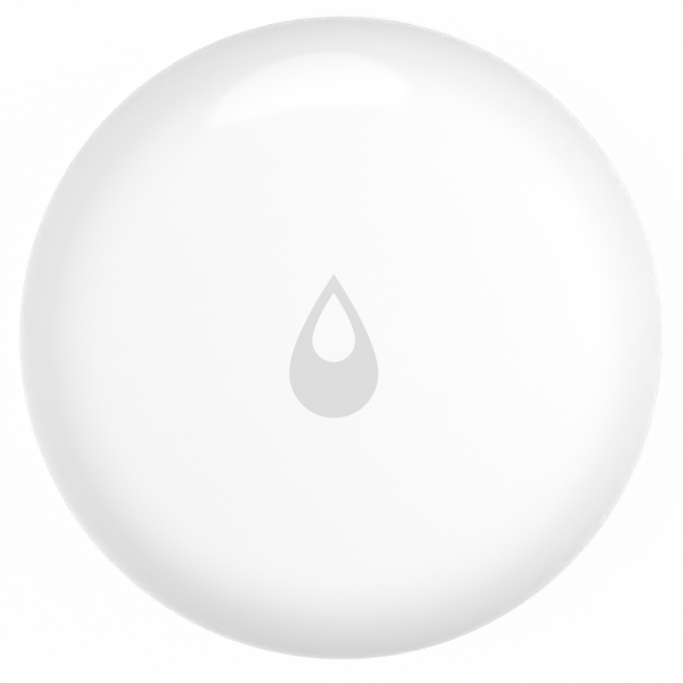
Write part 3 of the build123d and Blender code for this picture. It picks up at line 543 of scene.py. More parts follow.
finishes = {
    "gloss_white": plastic("gloss_white", (0.915, 0.915, 0.91), 0.035, 0.02, 0.006, peel=1.0, grain=0.05,
                           depth=0.0006, hairlines=0.12, dust=0.05, wear_colour=(0.8, 0.79, 0.77)),
    "grey_ink": plastic("grey_ink", (0.675, 0.675, 0.675), 0.34, 0.08, 0.02, peel=0.4, grain=0.6,
                        grain_scale=7000.0, depth=0.001, hairlines=0.15, dust=0.05),
    "satin_white": plastic("satin_white", (0.86, 0.86, 0.85), 0.42, 0.1, 0.03, peel=0.3, grain=1.0,
                           grain_scale=6500.0, depth=0.008, hairlines=0.35, dust=0.25,
                           wear_colour=(0.6, 0.58, 0.55)),
    "inner_white": plastic("inner_white", (0.82, 0.82, 0.8), 0.38, 0.1, 0.03, peel=0.6, grain=0.4),
    "pale_silicone": plastic("pale_silicone", (0.78, 0.78, 0.76), 0.5, 0.1, 0.04, peel=0.5, grain=0.5,
                             dust=0.5, subsurface=0.3),
    "clear_plastic": clear_finish(),
    "black_rubber": plastic("black_rubber", (0.03, 0.03, 0.03), 0.48, 0.14, 0.2, peel=0.3, grain=0.8,
                            depth=0.005, dust=0.5, wear_colour=(0.2, 0.2, 0.19)),
    "board_green": board_finish(),
    "chip_black": plastic("chip_black", (0.03, 0.03, 0.032), 0.5, 0.12, 0.25, grain=1.0, grain_scale=9000.0,
                          depth=0.006, wear_colour=(0.15, 0.15, 0.15)),
    "tinned_steel": metal("tinned_steel", (0.7, 0.7, 0.69), 0.24, straight=1.0, line_scale=12000.0),
    "copper_trace": metal("copper_trace", (0.85, 0.55, 0.32), 0.3, straight=1.0, line_scale=15000.0),
    "ceramic_tan": plastic("ceramic_tan", (0.55, 0.42, 0.28), 0.45, 0.1, 0.15, grain=0.6,
                           grain_scale=12000.0, depth=0.003),
    "light_yellow": plastic("light_yellow", (0.9, 0.85, 0.45), 0.2, 0.05, 0.08, peel=0.5, grain=0.2,
                            depth=0.003, subsurface=0.2),
    "switch_cream": plastic("switch_cream", (0.85, 0.83, 0.74), 0.4, 0.08, 0.05, grain=0.6),
    "zinc_screw": metal("zinc_screw", (0.66, 0.67, 0.7), 0.3, straight=1.0, line_scale=11000.0),
    "spring_bronze": metal("spring_bronze", (0.85, 0.68, 0.4), 0.28, straight=1.0, line_scale=10000.0),
    "cell_steel": metal("cell_steel", (0.63, 0.63, 0.62), 0.24, line_scale=7000.0),
    "cell_gasket": plastic("cell_gasket", (0.1, 0.1, 0.12), 0.4, 0.1, 0.15, grain=0.5, depth=0.003),
    "cell_filling": plastic("cell_filling", (0.12, 0.12, 0.13), 0.8, 0.1, 0.3, grain=1.0,
                            grain_scale=4000.0, depth=0.02),
    "grey_foam": foam_finish(),
    "insert_brass": metal("insert_brass", (0.82, 0.64, 0.31), 0.28, straight=1.0, line_scale=9000.0),
}
for side, spot in PROBE_SPOTS.items():
    finishes[side + "_probe_metal"] = metal("probe_metal_" + side, (0.69, 0.675, 0.64), 0.17, 0.68,
                                            line_scale=13000.0, centre=(*spot, 0))


# Top cap

EDGE_EASE = 0.25
BOSS_RADIUS = 1.5
BOSS_BOTTOM = 12.35
BOSS_EASE = 0.3
BOSS_FOOT_EASE = 0.2
HOOK_ANGLES = (30, 150, 270)
HOOK_ARC = 24
HOOK_OUTER = 22.4
HOOK_INNER = 21.3
HOOK_NOSE = 20.35
HOOK_BOTTOM = 6.2
HOOK_CATCH = 7.25
HOOK_TOP = 11.2


def cap_outline():
    """Half section of the cap: crown arc, shoulder arc, upright side, eased lower edge, and the same set in
    by the wall, down to the boss in the middle that presses the membrane's post."""
    flank = 90 - math.degrees(SHOULDER_TILT)
    inner_crown = CROWN_RADIUS - CAP_WALL
    inner_side = OUTER_RADIUS - CAP_WALL
    edge_height = CAP_BOTTOM + EDGE_EASE
    root = BOSS_RADIUS + BOSS_EASE
    ceiling = CROWN_CENTRE + math.sqrt(inner_crown**2 - root**2)
    last = 90 - math.degrees(math.asin(root / inner_crown))
    foot_centre = (BOSS_RADIUS - BOSS_FOOT_EASE, BOSS_BOTTOM + BOSS_FOOT_EASE)
    outline = np.concatenate([
        arc_points((0, CROWN_CENTRE), CROWN_RADIUS, 90, flank, 48),
        arc_points((SHOULDER_CENTRE, SHOULDER_HEIGHT), SHOULDER_RADIUS, flank, 0, 56)[1:],
        arc_points((OUTER_RADIUS - EDGE_EASE, edge_height), EDGE_EASE, 0, -90, 7),
        arc_points((inner_side + EDGE_EASE, edge_height), EDGE_EASE, -90, -180, 7),
        arc_points((SHOULDER_CENTRE, SHOULDER_HEIGHT), SHOULDER_RADIUS - CAP_WALL, 0, flank, 40),
        arc_points((0, CROWN_CENTRE), inner_crown, flank, last, 24)[1:],
        arc_points((root, ceiling - BOSS_EASE), BOSS_EASE, 90, 180, 6)[1:],
        arc_points(foot_centre, BOSS_FOOT_EASE, 0, -90, 5),
        [(0, BOSS_BOTTOM)]])
    outline[0, 0] = 0
    return outline


hook_loop = eased([
    (HOOK_OUTER, HOOK_BOTTOM, 0.2), (HOOK_OUTER, HOOK_TOP, 0), (HOOK_INNER, HOOK_TOP, 0),
    (HOOK_INNER, HOOK_CATCH, 0.12), (HOOK_NOSE, HOOK_CATCH, 0.12), (HOOK_INNER, HOOK_BOTTOM, 0.15)], 4)
cap_hooks = [skinned(helix_sections(hook_loop, angle - HOOK_ARC / 2, angle + HOOK_ARC / 2, 0, 24))
             for angle in HOOK_ANGLES]
make("cap_shell", joined(turned(cap_outline(), around=320), *cap_hooks), "cap", "gloss_white", ["top_cap"])


# Drop mark

DROP_TIP = 5.5
DROP_LENGTH = 11.0
DROP_WIDTH = 6.8
INNER_DROP_SHARE = 0.48
INNER_DROP_SETBACK_SHARE = 0.13
FLANK_REACH_SHARE = 0.38
FLANK_FALL_SHARE = 0.35
BULB_RISE_SHARE = 0.12
INK_RISE = 0.005
INK_ROOT = 0.06


def drop_loop(tip, length, width, count=60):
    """Outline of the drop, anticlockwise from its tip: a cubic curve down the left flank, a half circle
    round the bulb, and the flank's mirror image back up to the tip."""
    bulb = tip - length + width / 2
    t = np.linspace(0, 1, count)[:, None]
    ends = np.array([(0, tip), (width * FLANK_REACH_SHARE, tip - length * FLANK_FALL_SHARE),
                     (width / 2, bulb + length * BULB_RISE_SHARE), (width / 2, bulb)])
    weights = [(1 - t)**3, 3 * t * (1 - t)**2, 3 * t**2 * (1 - t), t**3]
    flank = sum(weight * end for weight, end in zip(weights, ends))
    bowl = arc_points((0, bulb), width / 2, 180, 360, 2 * count)
    return np.concatenate([flank * (-1, 1), bowl[1:-1], flank[::-1][:-1]])


def dome_height(place):
    """Height of the crown over a point: centre + sqrt(R^2 - x^2 - y^2)."""
    return CROWN_CENTRE + np.sqrt(CROWN_RADIUS**2 - (place**2).sum(-1))


def drop_band():
    """Ink of the drop as a band between its outer and inner outlines: at share s across it, the point is
    (1 - s) * inner + s * outer, laid on the crown; both edges roll down to just below the crown."""
    outer = drop_loop(DROP_TIP, DROP_LENGTH, DROP_WIDTH)
    inner = drop_loop(DROP_TIP - DROP_LENGTH * INNER_DROP_SETBACK_SHARE, DROP_LENGTH * INNER_DROP_SHARE,
                      DROP_WIDTH * INNER_DROP_SHARE)
    edge_shares = np.array([0, 0, 0.003, 0.01])
    edge_rise = [-INK_ROOT, -0.5 * INK_RISE, 0.6 * INK_RISE]
    share = np.concatenate([edge_shares, np.linspace(0.03, 0.97, 14), 1 - edge_shares[::-1]])
    rise = np.concatenate([edge_rise, np.full(16, INK_RISE), edge_rise[::-1]])
    place = (1 - share)[None, :, None] * inner[:, None] + share[None, :, None] * outer[:, None]
    return np.concatenate([place, (dome_height(place) + rise[None])[..., None]], 2)


make("drop_ink", skinned(drop_band(), ring=True), "cap", "grey_ink", ["drop_symbol"], sharp=60)


# Press membrane: a rim that stays, a post that goes down with the cap, and a cone between them

RIM_INNER = 2.1
RIM_OUTER = 3.4
RIM_NECK = 2.6
RIM_BOTTOM = 10.1
RIM_TOP = 12.1
LID_BOTTOM = 10.6
LID_TOP = 11.6
POST_RADIUS = 1.2
POST_BOTTOM = 10.05
POST_TOP = 12.3
CONE_OUTER_END = (2.2, 10.72)
CONE_INNER_END = (1.1, 11.48)
CONE_WALL = 0.24

rim_loop = eased([
    (RIM_INNER, RIM_BOTTOM, 0.1), (RIM_OUTER, RIM_BOTTOM, 0.15), (RIM_OUTER, LID_BOTTOM, 0.08),
    (RIM_NECK, LID_BOTTOM, 0.05), (RIM_NECK, LID_TOP, 0.05), (RIM_OUTER, LID_TOP, 0.08),
    (RIM_OUTER, RIM_TOP, 0.15), (RIM_INNER, RIM_TOP, 0.1)])
make("membrane_rim", turned(rim_loop, around=128), "housing", "pale_silicone", ["button_membrane"])
post_loop = eased([(0, POST_BOTTOM, 0), (POST_RADIUS, POST_BOTTOM, 0.1), (POST_RADIUS, POST_TOP, 0.15),
                   (0, POST_TOP, 0)])
make("membrane_post", turned(post_loop, around=96), "cap", "pale_silicone", ["button_membrane"])


def cone_outline(outer, inner, thickness, steps=16):
    """Closed section of the cone: over the share of the way inwards, its height goes from the outer to the
    inner end as share^2 * (3 - 2 * share)."""
    share = np.linspace(0, 1, steps)[:, None]
    rise = share**2 * (3 - 2 * share)
    radius, height = outer[0] + (inner[0] - outer[0]) * share, outer[1] + (inner[1] - outer[1]) * rise
    middle = np.concatenate([radius, height], 1)
    return np.concatenate([middle - (0, thickness / 2), middle[::-1] + (0, thickness / 2)])


cone_loop = cone_outline(CONE_OUTER_END, CONE_INNER_END, CONE_WALL)
web = make("membrane_web", turned(cone_loop, around=128), None, "pale_silicone", ["button_membrane"])
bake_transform(web)


# Lower housing

BOWL_ROUND = 3.55
BOWL_TOP = UNDERSIDE + BOWL_ROUND
LIP_OUTER = 23.2
LIP_INNER = 22.2
LIP_TOP = 5.3
TROUGH_FLOOR = 2.3
RIB_OUTER = 20.75
RIB_INNER = 20.15
CHANNEL_FLOOR = 3.1
WALL_OUTER = 18.7
SHELF_TOP = 7.3
SHELF_BOTTOM = 6.3
SHELF_HOLE = 9.0
CRADLE_INNER = 10.15
CRADLE_OUTER = 11.3
CRADLE_BOTTOM = 4.9
WELL_RADIUS = 17.0
LEDGE_HEIGHT = 2.0
POCKET_RADIUS = 18.75
LAND_MIDDLE = 21.0
FOOT_RADIUS = 1.1
FOOT_ROOT_RADIUS = 1.33
FOOT_ROOT_HEIGHT = 0.86
FOOT_EASE = 0.15
GROOVE_INNER = 16.6
GROOVE_OUTER = 17.65
GROOVE_BOTTOM = 2.9
GROOVE_TOP = 4.1
GROOVE_SPARE = 1.2
GROOVE_PLAY_ANGLE = 1.5
SHELF_CUT = (6.0, 7.6)     # lowest and highest z of the openings through the shelf
SPRING_OPENING = (2.8, 4.8)
CONTACT_OPENING = (5.0, 6.08)
CONTACT_SPOT = (0, -11.84)
CONTACT_CUT = (4.6, 7.6)
PILOT_RADIUS = 1.0
PILOT_CUT = (6.6, 7.6)
MARK_CUT = (0.5, 1.0)      # lowest and highest z of the engraved marks
DOT_RADIUS = 0.55
LINE_MARK = (1.6, 0.45)


def bowl_outline():
    """Half section of the housing: land, bowl, lip, rib, wall of the well, shelf, cradle and ledge."""
    round_part = arc_points((OUTER_RADIUS - BOWL_ROUND, BOWL_TOP), BOWL_ROUND, -90, 0, 28)
    inside = eased([
        (OUTER_RADIUS, BOWL_TOP, 0), (LIP_OUTER, BOWL_TOP, 0.12), (LIP_OUTER, LIP_TOP, 0.15),
        (LIP_INNER, LIP_TOP, 0.15), (LIP_INNER, TROUGH_FLOOR, 0.2), (RIB_OUTER, TROUGH_FLOOR, 0.2),
        (RIB_OUTER, LIP_TOP, 0.12), (RIB_INNER, LIP_TOP, 0.12), (RIB_INNER, CHANNEL_FLOOR, 0.15),
        (WALL_OUTER, CHANNEL_FLOOR, 0.15), (WALL_OUTER, SHELF_TOP, 0.15), (SHELF_HOLE, SHELF_TOP, 0.15),
        (SHELF_HOLE, SHELF_BOTTOM, 0.15), (CRADLE_INNER, SHELF_BOTTOM, 0),
        (CRADLE_INNER, CRADLE_BOTTOM, 0.15), (CRADLE_OUTER, CRADLE_BOTTOM, 0.15),
        (CRADLE_OUTER, SHELF_BOTTOM, 0.2), (WELL_RADIUS, SHELF_BOTTOM, 0.15),
        (WELL_RADIUS, LEDGE_HEIGHT, 0.15), (POCKET_RADIUS, LEDGE_HEIGHT, 0.1),
        (POCKET_RADIUS, UNDERSIDE, 0.15), (LAND_MIDDLE, UNDERSIDE, 0)])
    return np.concatenate([round_part, inside[1:]])


def foot_shape(angle):
    """Foot as a turned form: flat below, eased edge, flanks that widen upwards into the land."""
    edge = eased([(0, 0, 0), (FOOT_RADIUS, 0, FOOT_EASE), (FOOT_ROOT_RADIUS, FOOT_ROOT_HEIGHT, 0),
                  (0, FOOT_ROOT_HEIGHT, 0)])
    return turned(edge, polar(FOOT_RING, angle), 40)


def peg(radius, z, centre, lip=0.0, around=48):
    """Round cutter between two heights that flares by the lip at its low end, for a small countersink."""
    low, high = z
    wide, below = radius + 2 * lip, low - OVERRUN
    flare = [(wide, low - lip), (radius, low + lip)] if lip else []
    return turned([(0, below), (wide, below), *flare, (radius, high), (0, high)], centre, around)


def block(centre, z, sides, ease=0.3):
    """Upright cutter with eased corners between two heights."""
    return skinned(upright_sections(eased_box(centre, sides, ease), [(z[0], 0), (z[1], 0)]))


def turned_block(reach, angle, z, sides):
    """Upright cutter whose first side points away from the middle axis, at the reach and angle."""
    turn = math.radians(angle)
    spin = np.array([[math.cos(turn), math.sin(turn)], [-math.sin(turn), math.cos(turn)]])
    loop = eased_box((0, 0), sides, 0.08, 3) @ spin + polar(reach, angle)
    return skinned(upright_sections(loop, [(z[0], 0), (z[1], 0)]))


groove_loop = np.array([(GROOVE_INNER, GROOVE_BOTTOM), (GROOVE_OUTER, GROOVE_BOTTOM),
                        (GROOVE_OUTER, GROOVE_TOP), (GROOVE_INNER, GROOVE_TOP)])
groove_fall = LUG_MIDDLE - LEDGE_HEIGHT + GROOVE_SPARE
groove_run = 360 * groove_fall / COVER_LEAD
housing_cuts = [skinned(helix_sections(groove_loop - (0, groove_fall), angle - groove_run,
                                       angle + LUG_ARC / 2 + GROOVE_PLAY_ANGLE, COVER_LEAD, 40))
                for angle in LUG_ANGLES]
housing_cuts += [peg(PILOT_RADIUS, PILOT_CUT, polar(SCREW_RING, angle)) for angle in SCREW_ANGLES]
housing_cuts += [block(spot, SHELF_CUT, SPRING_OPENING) for spot in PROBE_SPOTS.values()]
housing_cuts += [block(CONTACT_SPOT, CONTACT_CUT, CONTACT_OPENING, 0.25),
                 peg(DOT_RADIUS, MARK_CUT, polar(FOOT_RING, 270)),
                 turned_block(FOOT_RING, 225, MARK_CUT, LINE_MARK)]
housing_shape = joined(turned(bowl_outline()), *[foot_shape(angle) for angle in FOOT_ANGLES])
make("housing_bowl", housing_shape, "housing", "satin_white", ["lower_housing"], housing_cuts)


# Battery cover

FLANGE_RADIUS = 18.6
FLANGE_TOP = 1.95
PLUG_RADIUS = 16.8
PLUG_TOP = 6.1
PLUG_BORE = 14.9
RING_BED = 16.05
RING_BED_BOTTOM = 4.65
RING_BED_TOP = 5.75
FLOOR_TOP = 2.6
LOCATOR_OUTER = 10.8
LOCATOR_INNER = 10.2
LOCATOR_TOP = 3.6
UNDERSIDE_RINGS = (0, 6, 12, 18)
FLOOR_RINGS = (9.9, 5, 0)
SLOT_LENGTH = 14.0
SLOT_WIDTH = 2.0
SLOT_CUT = (0.8, 1.8)
SLOT_LIP = 0.15
ARROW_HALF_WIDTH = 0.9
ARROW_TAIL = -15.6
ARROW_TIP = -17.2
LUG_INNER = 16.4
LUG_OUTER = 17.5
LUG_BOTTOM = 3.0
LUG_TOP = 4.0
PROBE_RECESS = 2.15
PROBE_RECESS_CUT = (0.8, 1.8)
PROBE_RECESS_LIP = 0.12
PROBE_HOLE = 0.95
PROBE_HOLE_CUT = (1.6, 2.8)
PROBE_BOSS_RADIUS = 2.1
PROBE_BOSS_BOTTOM = 2.3
PROBE_BOSS_TOP = 4.4
INSERT_RADIUS = 1.5
INSERT_BOTTOM = 2.9


def plug_outline():
    """Half section of the cover: flange, plug with the seal's groove, floor, and the cell's locator."""
    inner = eased([
        (FLANGE_RADIUS, UNDERSIDE, 0.3), (FLANGE_RADIUS, FLANGE_TOP, 0.15), (PLUG_RADIUS, FLANGE_TOP, 0.1),
        (PLUG_RADIUS, RING_BED_BOTTOM, 0.05), (RING_BED, RING_BED_BOTTOM, 0.06),
        (RING_BED, RING_BED_TOP, 0.06), (PLUG_RADIUS, RING_BED_TOP, 0.05), (PLUG_RADIUS, PLUG_TOP, 0.12),
        (PLUG_BORE, PLUG_TOP, 0.2), (PLUG_BORE, FLOOR_TOP, 0.25), (LOCATOR_OUTER, FLOOR_TOP, 0.12),
        (LOCATOR_OUTER, LOCATOR_TOP, 0.12), (LOCATOR_INNER, LOCATOR_TOP, 0.2),
        (LOCATOR_INNER, FLOOR_TOP, 0.12), (FLOOR_RINGS[0], FLOOR_TOP, 0)])
    return np.concatenate([[(radius, UNDERSIDE) for radius in UNDERSIDE_RINGS], inner,
                           [(radius, FLOOR_TOP) for radius in FLOOR_RINGS[1:]]])


def slot_tool(length, width, z, lip):
    """Cutter of the coin slot: a run with round ends along Y, flared by the lip at the surface, and with an
    eased floor."""
    half = (length - width) / 2
    low, high = z
    growth = [(low - OVERRUN, lip + OVERRUN), (low, lip), (low + lip, 0),
              (high - 0.15, 0), (high - 0.05, -0.05), (high, -0.2)]
    sections = []
    for height, margin in growth:
        loop = np.concatenate([arc_points((0, half), width / 2 + margin, 0, 180, 24),
                               arc_points((0, -half), width / 2 + margin, 180, 360, 24)])
        sections.append(np.column_stack([loop, np.full(len(loop), height)]))
    return skinned(np.array(sections))


def arrow_tool():
    """Cutter of the arrow by the flange's edge that points at the housing's marks."""
    loop = np.array([(-ARROW_HALF_WIDTH, ARROW_TAIL), (0, ARROW_TIP), (ARROW_HALF_WIDTH, ARROW_TAIL)])
    return skinned(upright_sections(loop, [(level, 0) for level in MARK_CUT]))


def probe_boss(spot):
    """Boss round a probe: a turned ring with a hole for the shank and a wider one for the insert."""
    loop = eased([
        (PROBE_HOLE, PROBE_BOSS_BOTTOM, 0), (PROBE_BOSS_RADIUS, PROBE_BOSS_BOTTOM, 0),
        (PROBE_BOSS_RADIUS, PROBE_BOSS_TOP, 0.15), (INSERT_RADIUS, PROBE_BOSS_TOP, 0.08),
        (INSERT_RADIUS, INSERT_BOTTOM, 0), (PROBE_HOLE, INSERT_BOTTOM, 0)])
    return turned(loop, spot, 64)


lug_loop = eased([(LUG_INNER, LUG_BOTTOM, 0), (LUG_OUTER, LUG_BOTTOM, 0.15), (LUG_OUTER, LUG_TOP, 0.15),
                  (LUG_INNER, LUG_TOP, 0)], 4)
lug_rise = COVER_LEAD * LUG_ARC / 360
cover_lugs = [skinned(helix_sections(lug_loop - (0, lug_rise / 2), angle - LUG_ARC / 2, angle + LUG_ARC / 2,
                                     COVER_LEAD, 16)) for angle in LUG_ANGLES]
probe_bosses = [probe_boss(spot) for spot in PROBE_SPOTS.values()]
cover_cuts = [slot_tool(SLOT_LENGTH, SLOT_WIDTH, SLOT_CUT, SLOT_LIP), arrow_tool()]
cover_cuts += [peg(PROBE_RECESS, PROBE_RECESS_CUT, spot, PROBE_RECESS_LIP, 72)
               for spot in PROBE_SPOTS.values()]
cover_cuts += [peg(PROBE_HOLE, PROBE_HOLE_CUT, spot) for spot in PROBE_SPOTS.values()]
make("twist_cover", turned(plug_outline()), "cover", "satin_white", ["battery_cover"], cover_cuts,
     cover_lugs + probe_bosses)


# Screws: probes and board screws share a head with a cross recess

PROBE_HEAD = 2.0
PROBE_LEVELS = (0.3, 1.3, 5.0)     # lowest point, head's upper side, end of the shank
SCREW_HEAD = 1.5
SCREW_LEVELS = (5.3, 6.3, 9.8)
SHANK_RADIUS = 0.85
RECESS_LENGTH_SHARE = 0.6
RECESS_WIDTH_SHARE = 0.16
RECESS_DEPTH = 0.45


def cross_tool(centre, head, low):
    """Cutters of a cross recess: two bars whose walls draw in with depth, open at the low face."""
    length, width = 2 * head * RECESS_LENGTH_SHARE, 2 * head * RECESS_WIDTH_SHARE
    levels = [(low - 0.2, 0.14), (low, 0.05), (low + 0.05, 0), (low + RECESS_DEPTH - 0.1, -0.04),
              (low + RECESS_DEPTH, -0.12)]
    return [skinned(upright_sections(eased_box((0, 0), sides, 0.12, 4) + centre, levels))
            for sides in ((length, width), (width, length))]


def screw_shape(centre, head, levels, ease, tip, around=96):
    """Screw as a turned form: flat head with an eased edge, neck, shank and a chamfered tip."""
    low, head_high, top = levels
    corners = eased([
        (0, low, 0), (head, low, ease), (head, head_high, 0.06), (SHANK_RADIUS, head_high, 0.08),
        (SHANK_RADIUS, top - tip, 0), (SHANK_RADIUS - tip * 0.6, top, 0), (0, top, 0)], 7)
    return turned(corners, centre, around)


for side, spot in PROBE_SPOTS.items():
    screw = screw_shape(spot, PROBE_HEAD, PROBE_LEVELS, ease=0.3, tip=0.2)
    piece = make(side + "_probe_screw", screw, "cover", side + "_probe_metal", [side + "_probe"],
                 cross_tool(spot, PROBE_HEAD, PROBE_LEVELS[0]))
screw_spots = [polar(SCREW_RING, angle) for angle in SCREW_ANGLES]
screw_cuts = [tool for spot in screw_spots for tool in cross_tool(spot, SCREW_HEAD, SCREW_LEVELS[0])]
screws = [screw_shape(spot, SCREW_HEAD, SCREW_LEVELS, ease=0.2, tip=0.5, around=64) for spot in screw_spots]
make("shelf_screws", joined(*screws), "housing", "zinc_screw", ["board_screws"], screw_cuts)


# Seals, cell and pad

CELL_RADIUS = 10.0
CELL_BOTTOM = 3.05
CELL_TOP = 6.25
CAN_TOP = 6.05
CAN_WALL = 0.25
CAN_EASE = 0.45
CAN_FLAT = 6.0
CAN_MOUTH = 9.15
MOUTH_EASE = (0.15, 0.05)
LID_BOTTOM = 5.45
LID_EDGE = [(8.8, 6.1), (8.76, 6.2), (8.66, CELL_TOP)]
LID_RING = [(8.4, CELL_TOP), (8.3, 6.235), (8.1, 6.235), (8.0, CELL_TOP)]     # shallow pressed ring
PAD_RADIUS = 4.0
PAD_TOP = 3.03
PAD_CROWN = 0.08
PAD_FLAT_EDGE = 0.6


def ring_seal(radius, height, section, centre=(0, 0), around=AROUND, count=24):
    """Ring of round section: section circle at the radius, turned about the axis."""
    return turned(arc_points((radius, height), section / 2, 0, 360, count + 1)[:-1], centre, around)


cover_ring = ring_seal(radius=16.51, height=5.2, section=0.9)
make("cover_ring", cover_ring, "cover", "black_rubber", ["cover_seal"])
housing_ring = ring_seal(radius=19.45, height=3.6, section=0.96)
make("housing_ring", housing_ring, "housing", "black_rubber", ["housing_seal"])
probe_rings = [ring_seal(radius=1.35, height=1.54, section=0.46, centre=spot, around=64, count=16)
               for spot in PROBE_SPOTS.values()]
make("probe_rings", joined(*probe_rings), "cover", "black_rubber", ["probe_seals"])

inner_wall, can_lip = CELL_RADIUS - CAN_WALL, CAN_TOP - CAN_WALL
can_loop = np.concatenate([
    [(0, CELL_BOTTOM), (CAN_FLAT, CELL_BOTTOM)],
    arc_points((CELL_RADIUS - CAN_EASE, CELL_BOTTOM + CAN_EASE), CAN_EASE, -90, 0, 10),
    arc_points((inner_wall, can_lip), CAN_WALL, 0, 90, 7),
    [(CAN_MOUTH + MOUTH_EASE[0], CAN_TOP), (CAN_MOUTH, CAN_TOP - MOUTH_EASE[1]), (CAN_MOUTH, can_lip),
     (inner_wall, can_lip), (inner_wall, CELL_BOTTOM + CAN_WALL), (0, CELL_BOTTOM + CAN_WALL)]])
make("cell_can", turned(can_loop), "battery", "cell_steel", ["battery_can"])
lid_loop = [(0, LID_BOTTOM), (LID_EDGE[0][0], LID_BOTTOM), *LID_EDGE, *LID_RING, (0, CELL_TOP)]
make("cell_lid", turned(lid_loop), "battery", "cell_steel", ["battery_lid"])


def pad_outline(radius, low, high):
    """Pad's half section: flat below, round side, and a crown whose height falls with the fourth power of
    the share of the way out."""
    edge = high - PAD_CROWN
    side = arc_points((radius - (edge - low) / 2, (low + edge) / 2), (edge - low) / 2, -90, 90, 14)
    share = np.linspace(0.9, 0, 20)
    crown = np.stack([radius * share, high - (high - edge) * share**4], 1)
    return np.concatenate([[(0, low), (radius - PAD_FLAT_EDGE, low)], side, crown])


foam = make("foam_pad", turned(pad_outline(PAD_RADIUS, FLOOR_TOP, PAD_TOP)), "cover", "grey_foam",
            ["battery_pad"])


# CAD pieces that stay: their finish, and a modifier that merges their loose triangles and smooths them

def build_smoothing():
    """Geometry nodes: merge points that touch, then shade smooth with edges past 32 degrees kept sharp."""
    tree = bpy.data.node_groups.new("smooth_cad", "GeometryNodeTree")
    for way in ("INPUT", "OUTPUT"):
        tree.interface.new_socket("Geometry", in_out=way, socket_type="NodeSocketGeometry")
    start, end = add_node(tree, "NodeGroupInput"), add_node(tree, "NodeGroupOutput")
    merge = add_node(tree, "GeometryNodeMergeByDistance")
    faces = add_node(tree, "GeometryNodeSetShadeSmooth", domain="FACE")
    edges = add_node(tree, "GeometryNodeSetShadeSmooth", domain="EDGE")
    angle = add_node(tree, "GeometryNodeInputMeshEdgeAngle")
    steep = add_node(tree, "FunctionNodeCompare", data_type="FLOAT", operation="GREATER_THAN")
    feed(tree, steep.inputs[0], angle.outputs["Unsigned Angle"])
    feed(tree, steep.inputs[1], math.radians(32))
    feed_inputs(tree, merge, Geometry=start.outputs[0], Distance=0.001 * MM)
    feed_inputs(tree, faces, Geometry=merge.outputs[0])
    feed_inputs(tree, edges, Geometry=faces.outputs[0], Selection=steep.outputs[0], Shade_Smooth=False)
    feed(tree, end.inputs[0], edges.outputs[0])
    return tree


smooth_cad = build_smoothing()
for row in frame["record"]["subparts"]:
    node = frame["nodes"][row["node"]]
    if node.hide_render:
        continue
    for entry in node.material_slots:
        entry.material = finishes[row["material_slot"]]
    node.modifiers.new("smooth", "NODES").node_group = smooth_cad


# Floor, light and camera, in metres and watts

FLOOR_SIZE = 6
FLOOR_GLOW = 0.96
WORLD_LEVEL = 0.12
HORIZON_LEVEL = 0.5
WHITE_FROM_HEIGHT = 0.6    # z of the direction from which the gloss shows full white
LAMP_AIM = Vector((0, 0, 0.01))
PANELS = {                 # place, side length and power of the square lamps
    "overhead": ((0.01, 0, 1.1), 0.8, 0.5),
    "near_right_panel": ((0.2314, 0, 0.2758), 0.24, 0.36),
    "low_right_panel": ((0.3179, 0, 0.169), 0.24, 0.31),
    "low_back_right_panel": ((0.2604, 0.1823, 0.169), 0.24, 0.12),
    "left_panel": ((-0.55, 0, 0.953), 0.6, 6.3),
    "back_left_panel": ((-0.275, 0.476, 0.953), 0.6, 1.45),
    "back_panel": ((0, 0.901, 0.631), 0.6, 0.53),
    "front_panel": ((0, -0.901, 0.631), 0.6, 0.27),
    "under_fill": ((-0.5, -0.35, -0.9), 0.5, 6.5),
}
SOFTBOX_PLACE = (-0.145, 0.86, 0.72)
SOFTBOX_SIZE = (0.69, 1.42)
SOFTBOX_WATTS = 3.0
SOFTBOX_ROLL = -8
CAMERA_AWAY = 0.5
VIEW_WIDTH = 0.0531
VIEW_MIDDLE = Vector((0.00005, -0.00027, 0.0052))
TOWARDS_CAMERA = Vector((0.0555, 0.0635, 1)).normalized()


def build_floor():
    """Pale floor: near white where the camera, a reflection or a clear piece sees it, with the object's
    shadow in the rest, and open to a view and to light from below, so that the underside can be seen."""
    material, tree, shader, _ = start_finish("floor_white")
    feed_inputs(tree, shader, Base_Color=(0.8, 0.8, 0.8, 1), Roughness=0.9, Specular_IOR_Level=0.1)
    path = add_node(tree, "ShaderNodeLightPath").outputs
    mirrored = maths(tree, "MAXIMUM", path["Is Glossy Ray"], path["Is Transmission Ray"])
    seen = maths(tree, "MAXIMUM", path["Is Camera Ray"], mirrored)
    glow = add_node(tree, "ShaderNodeEmission")
    feed_inputs(tree, glow, Strength=1.0)
    behind = add_node(tree, "ShaderNodeNewGeometry").outputs["Backfacing"]
    clear = add_node(tree, "ShaderNodeBsdfTransparent")
    mix, below = add_node(tree, "ShaderNodeMixShader"), add_node(tree, "ShaderNodeMixShader")
    layers = ((mix, maths(tree, "MULTIPLY", seen, FLOOR_GLOW), shader, glow),
              (below, maths(tree, "MAXIMUM", behind, path["Is Shadow Ray"]), mix, clear))
    for node, factor, first, second in layers:
        feed(tree, node.inputs[0], factor)
        feed(tree, node.inputs[1], first.outputs[0])
        feed(tree, node.inputs[2], second.outputs[0])
    feed_inputs(tree, tree.nodes["Material Output"], Surface=below.outputs[0])
    bpy.ops.mesh.primitive_plane_add(size=FLOOR_SIZE)
    floor = bpy.context.object
    floor.name = "floor"
    floor.data.materials.append(material)


